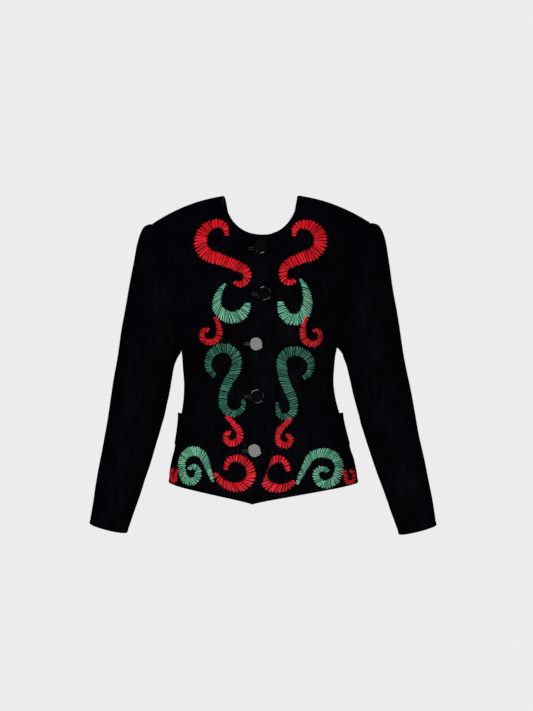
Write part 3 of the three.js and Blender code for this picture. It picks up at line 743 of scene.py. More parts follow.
@dataclass(frozen=True)
class PolishedButton:
    """Gunmetal-dyed polyester resin, turned and polished: near black, with hard clear reflections."""

    name: str = "polished_gunmetal_resin"

    def make(self) -> bpy.types.Material:
        """The button's material, with faint smears in its polish.

        Returns:
            The new material.
        """
        material, tree = new_material(self.name)
        place = add_node(tree, "TexCoord").outputs["Object"]
        smear = add_node(tree, "TexNoise", {"Vector": place, "Scale": 1 / (7 * MM), "Detail": 5.0}).outputs[0]
        rough = add_node(tree, "MapRange", {"Value": smear, "To Min": 0.05, "To Max": 0.16}).outputs[0]
        colour = add_node(
            tree, "Mix", {"Factor": smear, "A": linear("#040506"), "B": linear("#08090b")}, data_type="RGBA"
        )
        finish_material(
            tree,
            {"Base Color": colour.outputs["Result"], "Roughness": rough, "IOR": 1.53, "Coat Weight": 0.5},
        )
        return material


Finish = Velvet | WovenBacking | Yarn | SatinBinding | PolishedButton


@dataclass
class Wardrobe:
    """Every finish, made once and handed out by its own description."""

    made: dict[Finish, bpy.types.Material] = field(default_factory=dict)

    def get(self, finish: Finish) -> bpy.types.Material:
        """The material of a finish.

        Args:
            finish: the finish's description.

        Returns:
            Its material, made at the first call.
        """
        if finish not in self.made:
            self.made[finish] = finish.make()
        return self.made[finish]

    def both_sides(self) -> list[bpy.types.Material]:
        """The velvet's pile, and the backing that is its wrong side."""
        return [self.get(Velvet()), self.get(WovenBacking())]


# ------------------------------------------------------------------ cloth as a grid of points
@dataclass
class ClothGrid:
    """The outer face of a piece of cloth, rows by columns of points in mm, with the normals that it moves on."""

    points: np.ndarray
    is_tube: bool = False
    normals: np.ndarray = field(init=False)

    def __post_init__(self) -> None:
        """Works out the outward normals."""
        if self.is_tube:
            ring = self.points[:, :-1]
            across = np.roll(ring, -1, axis=1) - np.roll(ring, 1, axis=1)
            across = np.concatenate([across, across[:, :1]], axis=1)
            core = ring.mean(axis=1, keepdims=True)
        else:
            across = np.gradient(self.points, axis=1)
            core = self.points * (0, 0, 1)
        normals = unit(np.cross(across, np.gradient(self.points, axis=0)))
        outward = float(np.sum(normals * (self.points - core)))
        self.normals = normals if outward > 0 else -normals

    def sink(self, depth: np.ndarray) -> None:
        """Moves every point inwards by its depth."""
        self.points = self.points - self.normals * depth[..., None]

    def to_bmesh(self) -> bmesh.types.BMesh:
        """A new mesh in metres with the cloth's UV map, which is in metres too.

        Returns:
            The mesh, its faces turned outwards.
        """
        rows, columns = self.points.shape[0] - 1, self.points.shape[1] - 1
        walked = lengths_along(self.points, 0)
        across = lengths_along(self.points, 1)
        across = across - across.mean(axis=1, keepdims=True)
        mesh = bmesh.new()
        uv = mesh.loops.layers.uv.new("cloth")
        bmesh.ops.create_grid(mesh, x_segments=columns, y_segments=rows, size=1)
        spots = {}
        for vertex in mesh.verts:
            i = round((vertex.co.y + 1) / 2 * rows)
            j = round((vertex.co.x + 1) / 2 * columns)
            spots[vertex] = (i, j)
        for vertex, spot in spots.items():
            vertex.co = Vector(self.points[spot]) * MM
        for face in mesh.faces:
            for loop in face.loops:
                spot = spots[loop.vert]
                loop[uv].uv = (across[spot] * MM, walked[spot] * MM)
        mesh.normal_update()
        mesh.faces.ensure_lookup_table()
        middle = mesh.faces[len(mesh.faces) // 2]
        if middle.normal.dot(Vector(self.normals[spots[middle.verts[0]]])) < 0:
            bmesh.ops.reverse_faces(mesh, faces=mesh.faces)
        if self.is_tube:
            bmesh.ops.remove_doubles(mesh, verts=mesh.verts, dist=0.01 * MM)
        mesh.normal_update()
        return mesh


def ticks(start: float, stop: float, cells: int, fine_start: tuple = (), fine_stop: tuple = ()) -> np.ndarray:
    """Even places from start to stop, with a few fine ones after the start or before the stop.

    Args:
        start: the first place.
        stop: the last place.
        cells: the number of even cells between the fine places.
        fine_start: distances of fine places from the start.
        fine_stop: distances of fine places from the stop.

    Returns:
        The places in order.
    """
    first = start + (fine_start[-1] if fine_start else 0)
    last = stop - (fine_stop[-1] if fine_stop else 0)
    even = np.linspace(first, last, cells + 1)
    before = [start, *(start + step for step in fine_start[:-1])] if fine_start else []
    after = [*(stop - step for step in reversed(fine_stop[:-1])), stop] if fine_stop else []
    return np.concatenate([before, even, after])


def resample(dense: np.ndarray, points: np.ndarray, cells: int) -> np.ndarray:
    """Spaces rows evenly over a surface, and finely next to both of its ends.

    Args:
        dense: a parameter that rises down the rows, for each row and column.
        points: the surface at those parameters.
        cells: number of even cells between the fine rows.

    Returns:
        The parameter of each new row in each column.
    """
    walked = lengths_along(points, 0)
    whole = walked[-1]
    edge = np.array(EDGE_STEPS)[:, None]
    middle = np.linspace(0, 1, cells + 1)[1:-1, None]
    reach = EDGE_STEPS[-1]
    targets = np.concatenate([edge + 0 * whole, reach + (whole - 2 * reach) * middle, whole - edge[::-1]])
    columns = [np.interp(targets[:, j], walked[:, j], dense[:, j]) for j in range(points.shape[1])]
    return np.stack(columns, axis=1)


def seam_groove(distance: np.ndarray, deep: float = SEAM_GROOVE) -> np.ndarray:
    """How far the pile sinks at a distance from a seam."""
    return deep * bell(distance / SEAM_REACH)


def turned_edge(distance: np.ndarray) -> np.ndarray:
    """The slight roll of an edge that is turned in, and the hollow where its fold ends, as a depth."""
    return 0.35 * bell((distance - TURNED_IN) / 2.5) - 0.5 * bell((distance - EDGE_ROLL) / 3)


# ------------------------------------------------------------------ the body
def shoulder_top(x: np.ndarray) -> np.ndarray:
    """Height of the shoulder line at a distance x from the middle."""
    past = np.maximum(np.abs(x) - NECK_HALF, 0)
    return -(SHOULDER_SLOPE * past + SHOULDER_CURVE * past**2)


def oval(share: np.ndarray) -> np.ndarray:
    """Depth of the squarish oval, 1 in its middle and 0 at a share of 1."""
    return np.maximum(1 - np.abs(share) ** SQUARENESS, 0) ** (1 / SQUARENESS)


def body_point(face: Face, side: Side, share: np.ndarray, z: np.ndarray) -> np.ndarray:
    """Points of the body's outer face.

    Args:
        face: front or back.
        side: which half of the body.
        share: distance from the middle over the half width, below 0 past the middle.
        z: heights.

    Returns:
        The points, with x, y and z last.
    """
    x = side.value * share * at_height(BODY, "half", z)
    bow = oval(share)
    below = np.clip((shoulder_top(x) - z) / SHOULDER_ROUND, 0, 1)
    depth = at_height(BODY, face.word, z) * np.sqrt(1 - (1 - below) ** 2) * bow
    shift = at_height(BODY, "sway", z)
    if face is Face.FRONT:
        bust = BUST_OUT * bell((np.abs(x) - BUST_X) / BUST_WIDE) * bell((z - BUST_Z) / BUST_HIGH)
        depth = depth + (bust - fold_depth(BODY_FOLDS, np.abs(x), z)) * bow
        shift = shift + at_height(BODY, "lean", z) * (1 - np.abs(share) ** 2)
    return np.stack([x + shift, face.value * depth, z + 0 * x], axis=-1)


def edge_line(z: np.ndarray, top: float) -> np.ndarray:
    """The x of a front edge at height z: straight to the cutaway, then slanting to the hem's point."""
    fall = np.clip((CUTAWAY_Z - z) / (CUTAWAY_Z - HEM_FRONT_Z), 0, 1)
    return mix(top, HEM_POINT, fall**CUTAWAY_CURVE)


@dataclass
class BodyPanel:
    """A front, or one half of the back, on the body's form."""

    face: Face
    side: Side
    cells: int = 118
    dense: int = 260

    def columns(self) -> np.ndarray:
        """Places of the columns, counted in ticks from the middle edge to the side seam.

        Returns:
            The columns' ticks.
        """
        front = (0.09, 0.19, 0.31, 0.46)
        neck = ticks(0, NECK_TICKS, 22, fine_start=front if self.face is Face.FRONT else ())
        shoulder = ticks(NECK_TICKS, ARMHOLE_START, 30)
        armhole = ticks(ARMHOLE_START, ALL_TICKS, 54, fine_stop=(0.1, 0.2, 0.33, 0.5))
        return np.concatenate([neck, shoulder[1:], armhole[1:]])

    def edge_at(self, z: np.ndarray) -> np.ndarray:
        """Distance of the panel's first column from the middle, towards its own side.

        Args:
            z: heights.

        Returns:
            The distances, below 0 where the panel reaches past the middle.
        """
        if self.face is Face.BACK:
            return 0 * z
        top = OVERLAP if self.side is Side.RIGHT else -UNDERLAP
        shift = at_height(BODY, "sway", z) + at_height(BODY, "lean", z)
        return self.side.value * (edge_line(z, top) - shift)

    def grid(self) -> np.ndarray:
        """The panel's outer points, as rows from the hem up.

        Returns:
            Rows by columns of points.
        """
        tick = self.columns()
        drop = NECK_DROPS[self.face.word]
        start = math.asin(float(self.edge_at(np.array(-drop))) / NECK_HALF) if self.face is Face.FRONT else 0.0
        on_neck, on_armhole = tick < NECK_TICKS, tick >= ARMHOLE_START
        neck_share = np.clip(tick / NECK_TICKS, 0, 1)
        neck_x = NECK_HALF * np.sin(mix(start, math.pi / 2, neck_share))
        shoulder_x = mix(NECK_HALF, SHOULDER_HALF, np.clip((tick - NECK_TICKS) / SHOULDER_TICKS, 0, 1))
        fall = (1 - np.cos(math.pi * np.clip((tick - ARMHOLE_START) / ARMHOLE_TICKS, 0, 1))) / 2
        armhole_z = mix(shoulder_top(SHOULDER_HALF), UNDERARM_Z, fall)
        armhole_x = at_height(ARMHOLE, self.face.word, armhole_z)
        cases = [on_neck, on_armhole]
        top_x = np.select(cases, [neck_x, armhole_x], shoulder_x)
        top_z = np.select(cases, [-drop * oval(neck_x / NECK_HALF), armhole_z], shoulder_top(shoulder_x))
        steep = np.select(cases, [0.85 * neck_share, 0.85 * (1 - fall)], 0.85)
        tuck = np.where(on_armhole, 0.8 * (1 - fall), 0.8 * smooth(tick - ARMHOLE_START + 1))
        spread = np.sin(math.pi / 2 * tick / ALL_TICKS) ** 0.95
        if self.face is Face.FRONT:
            hem_z = mix(HEM_FRONT_Z, HEM_SIDE_Z, spread**0.85)
        else:
            hem_z = mix(HEM_BACK_Z, HEM_SIDE_Z, spread)
        top_edge = self.edge_at(top_z)
        top_share = (top_x - top_edge) / (at_height(BODY, "half", top_z) - top_edge)

        def surface(rise: np.ndarray) -> np.ndarray:
            """The panel's points at a rise from 0 at the hem to 1 at its upper edge.

            Args:
                rise: rows by columns of rises.

            Returns:
                Rows by columns of points.
            """
            z = mix(hem_z, top_z, rise)
            place = mix(spread, top_share, smooth(rise)) - tuck * (1 - rise) * rise**4
            half = at_height(BODY, "half", z)
            return body_point(self.face, self.side, mix(self.edge_at(z), half, place) / half, z)

        u = np.linspace(0, 1, self.dense)[:, None]
        rise = mix(u, np.sin(math.pi / 2 * u), steep)
        return surface(resample(rise, surface(rise), self.cells))


def seam_plane(points: np.ndarray, face: Face) -> np.ndarray:
    """Keeps a panel's points on its own side of the plane of the shoulder and side seams.

    Args:
        points: the panel's points.
        face: front or back.

    Returns:
        The points, moved where they passed the plane.
    """
    held = points.copy()
    held[..., 1] = face.value * np.maximum(face.value * held[..., 1], 0.06)
    return held


@dataclass
class Cut:
    """The flat cut of a piece of cloth in metres and square metres."""

    width: float
    length: float
    area: float


def cloth_object(name: str, mesh: bmesh.types.BMesh, materials: list, wall: float = WALL) -> bpy.types.Object:
    """Turns a sheet of cloth into an object with a wall's thickness and rounded edges.

    Args:
        name: the piece's name.
        mesh: its outer face, in metres, which is used up.
        materials: the outer side's material and the inner side's.
        wall: its thickness in mm.

    Returns:
        The new object, linked to the scene.
    """
    piece = smooth_object(name, mesh, *materials)
    solid = piece.modifiers.new("wall", "SOLIDIFY")
    solid.thickness = wall * MM
    solid.offset = -1
    solid.use_even_offset = False
    solid.material_offset = len(materials) - 1
    round_edges = piece.modifiers.new("edges", "BEVEL")
    round_edges.width = EDGE_ROUND * MM
    round_edges.segments = 2
    round_edges.limit_method = "ANGLE"
    round_edges.angle_limit = math.radians(EDGE_ANGLE)
    return piece


def dress(piece: bpy.types.Object, slot: str, *nodes: str) -> None:
    """Lets a piece ride on the jacket and stand for its nodes.

    Args:
        piece: the piece.
        slot: not used.
        *nodes: the nodes that it replaces.
    """
    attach(piece, "root")
    if nodes:
        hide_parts(*nodes)


@dataclass
class Front:
    """One front of the jacket: the right one laps over the left one."""

    side: Side
    wardrobe: Wardrobe
    wave: float = 0.7  # height of the soft waves between the creases
    wave_grain: float = 55.0
    cut: Cut = field(default_factory=lambda: Cut(0.265, 0.645, 0.137))
    panel: BodyPanel = field(init=False)
    cloth: ClothGrid = field(init=False)
    tree: BVHTree = field(init=False)

    def __post_init__(self) -> None:
        """Lays the panel on the form."""
        self.panel = BodyPanel(Face.FRONT, self.side)
        points = self.panel.grid()
        if self.side is Side.LEFT:
            points = self.under_lap(points)
        self.cloth = ClothGrid(seam_plane(points, Face.FRONT))

    def under_lap(self, points: np.ndarray) -> np.ndarray:
        """The under front's points, sunk beneath the upper front where that lies over them.

        Args:
            points: the under front's points.

        Returns:
            The sunk points.
        """
        cover = 1 - smooth((points[..., 0] - edge_line(points[..., 2], OVERLAP) - 4) / LAP_FADE)
        sunk = points.copy()
        sunk[..., 1] += LAP_DEPTH * cover * smooth(-points[..., 1] / 40)
        return sunk

    def build(self) -> bpy.types.Object:
        """Creases the cloth, sinks its seams and makes the piece.

        Returns:
            The new object.
        """
        cloth = self.cloth
        x, z = cloth.points[..., 0], cloth.points[..., 2]
        tick = self.panel.columns()
        walked = lengths_along(cloth.points, 0)
        across = lengths_along(cloth.points, 1)
        from_top, from_side = walked[-1] - walked, across[:, -1:] - across
        bow = smooth(-cloth.points[..., 1] / PLANE_FADE)
        depth = fold_depth(FRONT_CREASES, x, z) * bow * smooth(from_side / SEAM_FADE)
        depth += self.wave * unevenness(cloth.points, self.wave_grain, self.side.value) * bow
        sewn = smooth((tick - NECK_TICKS) / 0.4)
        depth += seam_groove(from_top) * sewn + seam_groove(from_side)
        depth += turned_edge(from_top) * (1 - sewn) + turned_edge(across) + turned_edge(walked)
        cloth.sink(depth)
        cloth.points = seam_plane(cloth.points, Face.FRONT)
        mesh = cloth.to_bmesh()
        self.tree = BVHTree.FromBMesh(mesh)
        name = f"velvet_front_{self.side.word}"
        return cloth_object(name, mesh, self.wardrobe.both_sides())

    def spot(self, x: float, z: float) -> tuple[Vector, Vector]:
        """Finds the cloth as it is seen straight from the front at (x, z).

        Args:
            x: the place's x.
            z: its height.

        Returns:
            The place in mm and the cloth's normal there.
        """
        origin = Vector((x * MM, -1.0, z * MM))
        place, normal, _, _ = self.tree.ray_cast(origin, Vector((0, 1, 0)))
        if place is None:
            place, normal, _, _ = self.tree.find_nearest(Vector((x * MM, -0.05, z * MM)))
        return place / MM, normal

    def in_column(self, column: float, z: np.ndarray) -> tuple[np.ndarray, np.ndarray]:
        """Finds the cloth at heights z in one of the panel's columns.

        Args:
            column: the column's number, which may lie between two.
            z: the heights.

        Returns:
            The places and their normals.
        """
        first = min(int(column), self.cloth.points.shape[1] - 2)
        found = []
        for grid in (self.cloth.points, self.cloth.normals):
            ends = []
            for j in (first, first + 1):
                heights = self.cloth.points[:, j, 2]
                ends.append(np.stack([np.interp(z, heights, grid[:, j, k]) for k in range(3)], axis=-1))
            found.append(mix(ends[0], ends[1], column - first))
        return found[0], unit(found[1])


@dataclass
class Back:
    """The back, in one piece from side seam to side seam."""

    wardrobe: Wardrobe
    wave: float = 0.8
    wave_grain: float = 60.0
    cut: Cut = field(default_factory=lambda: Cut(0.5, 0.63, 0.24))
    tick: np.ndarray = field(init=False)
    cloth: ClothGrid = field(init=False)

    def __post_init__(self) -> None:
        """Lays the panel on the form."""
        halves = {side: BodyPanel(Face.BACK, side) for side in Side}
        self.tick = halves[Side.LEFT].columns()
        left, right = halves[Side.LEFT].grid(), halves[Side.RIGHT].grid()
        points = np.concatenate([right[:, :0:-1], left], axis=1)
        self.cloth = ClothGrid(seam_plane(points, Face.BACK))

    def build(self) -> bpy.types.Object:
        """Creases the cloth, sinks its seams and makes the piece.

        Returns:
            The new object.
        """
        cloth = self.cloth
        x, z = cloth.points[..., 0], cloth.points[..., 2]
        walked = lengths_along(cloth.points, 0)
        across = lengths_along(cloth.points, 1)
        from_top = walked[-1] - walked
        from_side = np.minimum(across, across[:, -1:] - across)
        bow = smooth(cloth.points[..., 1] / PLANE_FADE)
        depth = fold_depth(BACK_CREASES, x, z) * bow * smooth(from_side / SEAM_FADE)
        depth += self.wave * unevenness(cloth.points, self.wave_grain, 7.0) * bow
        whole = np.concatenate([self.tick[:0:-1], self.tick])
        sewn = smooth((whole - NECK_TICKS) / 0.4)
        depth += seam_groove(from_top) * sewn + seam_groove(from_side)
        depth += turned_edge(from_top) * (1 - sewn) + turned_edge(walked)
        cloth.sink(depth)
        cloth.points = seam_plane(cloth.points, Face.BACK)
        return cloth_object("velvet_back", cloth.to_bmesh(), self.wardrobe.both_sides())


# ------------------------------------------------------------------ sleeves
def sleeve_point(side: Side, place: np.ndarray, angle: np.ndarray) -> np.ndarray:
    """Points of a sleeve before the armhole shapes it.

    Args:
        side: which arm.
        place: section numbers.
        angle: degrees from the sleeve's outer side through the front.

    Returns:
        The points, with x, y and z last.
    """
    to_outer = signed_power(np.cos(np.radians(angle)), SLEEVE_SQUARENESS) / 2
    to_front = signed_power(np.sin(np.radians(angle)), SLEEVE_SQUARENESS)
    x = mix(along(SLEEVE, "inner_x", place), along(SLEEVE, "outer_x", place), 0.5 + to_outer)
    z = mix(along(SLEEVE, "inner_z", place), along(SLEEVE, "outer_z", place), 0.5 + to_outer)
    y = along(SLEEVE, "mid", place) - along(SLEEVE, "deep", place) * to_front
    return np.stack([side.value * x + along(SLEEVE, "sway", place), y, z], axis=-1)


def sleeve_folds(folds: tuple[SleeveFold, ...], place: np.ndarray, angle: np.ndarray) -> np.ndarray:
    """How deep a sleeve's folds cut in at section numbers and angles.

    Args:
        folds: the folds.
        place: section numbers.
        angle: degrees from the sleeve's outer side through the front.

    Returns:
        The depths in mm.
    """
    total = np.zeros_like(place)
    for fold in folds:
        offset = place - fold.at
        aside = angle - fold.round - fold.lean * offset
        aside = (aside + 180) % 360 - 180
        total += fold.deep * bell(offset / fold.long) * bell(aside / fold.wide)
    return total


@dataclass
class Sleeve:
    """A long set-in sleeve, sewn round the armhole of its front and of the back, with one seam under the arm."""

    side: Side
    front: Front
    back: Back
    wardrobe: Wardrobe
    wave: float = 0.9
    wave_grain: float = 48.0
    held: float = 3.0  # sections over which the armhole's shape fades
    cut: Cut = field(default_factory=lambda: Cut(0.42, 0.625, 0.178))
    cells: int = 150
    dense: int = 260
    seam_gap: float = -0.5  # the seam allowance is tucked in, so that no light shows through
    angle: np.ndarray = field(init=False)
    place: np.ndarray = field(init=False)
    cloth: ClothGrid = field(init=False)

    def __post_init__(self) -> None:
        """Lays the sleeve from the armhole's edge to the cuff, and shares the seam's slope with the body."""
        tick = self.front.panel.columns()
        held = tick[tick >= ARMHOLE_START] - ARMHOLE_START
        count, middle = len(held), self.back.cloth.points.shape[1] // 2
        front_columns = np.arange(len(tick) - count, len(tick))
        back_columns = middle + self.side.value * np.arange(middle + 1 - count, middle + 1)
        front_edge = self.front.cloth.points[-1, front_columns]
        back_edge = self.back.cloth.points[-1, back_columns]
        share = 180 * held / ARMHOLE_TICKS
        self.angle = np.concatenate([360 - share[::-1], 360 + share[1:]])
        edge = np.concatenate([back_edge[::-1], front_edge[1:]])
        for end in (0, -1):
            edge[end] = (front_edge[-1] + back_edge[-1]) / 2
        edge[count - 1] = (front_edge[0] + back_edge[0]) / 2

        misfit = edge - sleeve_point(self.side, np.zeros_like(self.angle), self.angle)

        def surface(place: np.ndarray) -> np.ndarray:
            """The sleeve's points at section numbers, still shaped by the seam near its top."""
            hold = np.maximum(1 - place / self.held, 0) ** 2
            return sleeve_point(self.side, place, self.angle + 0 * place) + misfit * hold[..., None]

        last = len(SLEEVE) - 1
        dense = np.linspace(0, 1, self.dense)[:, None] ** 1.15 * last + 0 * self.angle
        self.place = resample(dense, surface(dense), self.cells)
        self.cloth = ClothGrid(surface(self.place), is_tube=True)
        self.share_slope(front_columns, back_columns, count)

    def share_slope(self, front_columns: np.ndarray, back_columns: np.ndarray, count: int) -> None:
        """Gives both sides of the armhole seam the same normals, so that they sink together.

        Args:
            front_columns: the front's columns along the armhole.
            back_columns: the back's.
            count: how many columns each of them has there.
        """
        body = [self.back.cloth.normals[-1, back_columns[::-1]], self.front.cloth.normals[-1, front_columns[1:]]]
        slope = unit(np.concatenate(body) + self.cloth.normals[0])
        for _ in range(6):
            ring = slope[:-1]
            ring = unit(np.roll(ring, 1, axis=0) + 2 * ring + np.roll(ring, -1, axis=0))
            slope = np.concatenate([ring, ring[:1]])
        self.cloth.normals[0] = slope
        self.back.cloth.normals[-1, back_columns[::-1]] = slope[:count]
        self.front.cloth.normals[-1, front_columns] = slope[count - 1 :]

    def build(self) -> bpy.types.Object:
        """Creases the cloth, sinks its seams and makes the piece.

        Returns:
            The new object.
        """
        cloth = self.cloth
        angle = (self.angle % 360) + 0 * self.place
        walked = lengths_along(cloth.points, 0)
        across = lengths_along(cloth.points, 1)
        from_seam = np.minimum(across, across[:, -1:] - across)
        eased = smooth(self.place / 1.5)
        depth = sleeve_folds(SLEEVE_FOLDS, self.place, angle) * eased
        depth += sleeve_folds(SLEEVE_CREASES[self.side], self.place, angle) * smooth(self.place / 0.9)
        depth += self.wave * unevenness(cloth.points, self.wave_grain, 3 + self.side.value) * smooth(self.place)
        depth += seam_groove(walked) + seam_groove(from_seam, 0.9) + turned_edge(walked[-1] - walked)
        cloth.sink(depth)
        cloth.points[:, -1] = cloth.points[:, 0]
        tangent = unit(np.gradient(cloth.points[:2].mean(axis=0), axis=0))
        away = unit(np.cross(tangent, cloth.normals[0]))
        if np.sum(away * (cloth.points[4] - cloth.points[0])) < 0:
            away = -away
        cloth.points[0] += self.seam_gap * away
        cloth.points[0, -1] = cloth.points[0, 0]
        return cloth_object(f"velvet_sleeve_{self.side.word}", cloth.to_bmesh(), self.wardrobe.both_sides())


# ------------------------------------------------------------------ pockets
@dataclass
class PocketWelt:
    """A deep welt that reaches round to the side seam and stands away from the hip along its top."""

    front: Front
    wardrobe: Wardrobe
    top: float = -434.0
    bottom: float = -496.0
    inner: float = 84.0
    lift: float = 0.2
    gape: float = 6.0
    wall: float = 1.3
    puff: float = 0.9
    rows: int = 26
    cut: Cut = field(default_factory=lambda: Cut(0.138, 0.063, 0.0086))

    def build(self) -> bpy.types.Object:
        """Lays the welt over the front's columns and makes the piece.

        Returns:
            The new object.
        """
        last = self.front.cloth.points.shape[1] - 1
        first = 0.0
        while abs(self.front.in_column(first, np.array([self.top]))[0][0, 0]) < self.inner:
            first += 0.1
        columns = ticks(first, last, 60, fine_start=(0.5, 1.0, 1.6), fine_stop=(1.0, 2.0, 3.0))
        share = ticks(0, 1, self.rows, fine_start=(0.02, 0.05), fine_stop=(0.02, 0.05))
        z = mix(self.bottom, self.top, share)
        layers = []
        for column in columns:
            place, normal = self.front.in_column(column, z)
            sideways = (column - first) / (last - first)
            raised = self.lift + self.wall + self.gape * share**2 * mix(0.25, 1, sideways)
            edges = min(sideways, 1 - sideways)
            pad = self.puff * np.sin(math.pi * share) ** 0.6 * min(1.0, edges / 0.06)
            layers.append(place + normal * (raised + pad)[:, None])
        points = seam_plane(np.stack(layers, axis=1), Face.FRONT)
        side = self.front.side.word
        velvet = self.wardrobe.get(Velvet())
        return cloth_object(f"velvet_welt_{side}", ClothGrid(points).to_bmesh(), [velvet], wall=self.wall)


# ------------------------------------------------------------------ embroidery
@dataclass(frozen=True)
class Start:
    """Where a scroll starts on one front, from the middle and in height, and how it is stretched."""

    x: float
    z: float
    wide: float = 1.0
    tall: float = 1.0
    arcs: tuple = ()


@dataclass(frozen=True)
class Scroll:
    """A scroll of satin stitch, laid along arcs of (radius, turn in degrees)."""

    name: str
    yarn: Yarn
    heading: float
    arcs: tuple
    tip: float
    belly: float
    at: float
    end: float
    right: Start
    left: Start
    pitch: float
    slant: tuple = (0.0, 0.0, 0.0)  # lean of the stitches at the start, middle and end, in degrees

    def start(self, side: Side) -> Start:
        """The scroll's start on one side."""
        return self.left if side is Side.LEFT else self.right

    def centre_line(self, side: Side) -> np.ndarray:
        """Points (x, z) about 0.5 mm apart along the middle of the scroll.

        Args:
            side: the front that it lies on.

        Returns:
            The points in order.
        """
        start = self.start(side)
        heading = math.radians(self.heading)
        out, up, path = 0.0, 0.0, [(0.0, 0.0)]
        for radius, turn in start.arcs or self.arcs:
            steps = max(2, round(radius * math.radians(abs(turn)) / 0.5))
            spin = math.copysign(radius, turn)
            for _ in range(steps):
                following = heading + math.radians(turn) / steps
                out += spin * (math.sin(following) - math.sin(heading))
                up += spin * (math.cos(heading) - math.cos(following))
                heading = following
                path.append((out, up))
        line = np.array(path) * (start.wide, start.tall) + (start.x, start.z)
        return line * (side.value, 1)

    def width(self, share: float) -> float:
        """The scroll's width at a share of its length.

        Args:
            share: 0 at its start, 1 at its end.

        Returns:
            The width in mm.
        """
        if share < self.at:
            return mix(self.tip, self.belly, math.sin(math.pi / 2 * share / self.at))
        return mix(self.end, self.belly, math.cos(math.pi / 2 * (share - self.at) / (1 - self.at)) ** 0.75)


SCROLLS = (
    Scroll(
        "chest_scroll", RED, heading=90,
        arcs=((60, -10), (17, -80), (33, -90), (32, -75), (310, 12), (15, 156), (9, 66)),
        tip=8, belly=26.5, at=0.38, end=8, pitch=5.6, slant=(0, -4, 16),
        right=Start(62, -87, 1.015, 1.05),
        left=Start(
            69.5, -88,
            arcs=((60, -10), (17, -80), (33, -90), (31, -72), (245, 10.2), (19, 66), (40, 14), (12, 96), (8, 44)),
        ),
    ),
    Scroll(
        "breast_crescent", MINT, heading=-38, arcs=((45, -50), (29, -92), (31, -78), (14, -16)),
        tip=5, belly=24, at=0.66, end=10, pitch=4.3, slant=(-42, -26, -4),
        right=Start(61, -182), left=Start(81, -172, 0.87, 1.22),
    ),
    Scroll(
        "breast_curl", RED, heading=-122, arcs=((50, 32), (18, 90), (13, 100), (8, 120)),
        tip=8, belly=13.5, at=0.5, end=8, pitch=4.8, slant=(0, -4, 14),
        right=Start(82.5, -244, 1.14, 1.12), left=Start(94.5, -243.5, 1.08, 1.2),
    ),
    Scroll(
        "waist_scroll", GREEN, heading=30,
        arcs=((26, 62), (31, 90), (25, 88), (50, 38), (80, -38), (22, -90), (19, -90), (8, -60)),
        tip=11, belly=20.5, at=0.45, end=7, pitch=4.8, slant=(8, -32, 30),
        right=Start(84.5, -358),
        left=Start(
            86.2, -363, 1, 0.91,
            arcs=((31, 62), (31, 90), (25, 88), (140, 27), (75, -27), (18, -88), (13, -72), (60, -22)),
        ),
    ),
    Scroll(
        "waist_curl", RED, heading=-139, arcs=((150, 14), (16, 125), (12, 100), (7, 110)),
        tip=9, belly=14, at=0.5, end=8, pitch=4.8, slant=(16, 24, 0),
        right=Start(62, -436), left=Start(64.5, -440, 1.02, 1, arcs=((150, 14), (16, 125), (10, 110), (7, 90))),
    ),
    Scroll(
        "hem_scroll", RED, heading=98, arcs=((60, 11), (18, 71), (30, 80), (25, 80), (42, 75), (200, 3)),
        tip=9, belly=19.5, at=0.6, end=7, pitch=5.5, slant=(6, -20, -32),
        right=Start(62, -540),
        left=Start(59, -542, arcs=((60, 11), (18, 71), (30, 80), (25, 80), (42, 58), (200, 2))),
    ),
    Scroll(
        "hip_spiral", MINT, heading=72,
        arcs=(
            (350, -8), (24, -64), (26, -50), (30, -40), (50, -25), (17, -65), (15, -60), (24, -30), (10, -90), (8, -80)
        ),
        tip=6, belly=20, at=0.42, end=8, pitch=4.3, slant=(-40, -12, -20),
        right=Start(86, -563, 0.97, 0.98), left=Start(75, -567, 1.21, 1.01),
    ),
    Scroll(
        "side_curl", RED, heading=-80, arcs=((120, 10), (7, 160), (70, 8), (5, 110)),
        tip=8, belly=10.5, at=0.5, end=7.5, pitch=4.8,
        right=Start(160, -541.5, 0.75), left=Start(165.2, -543),
    ),
)  # fmt: skip


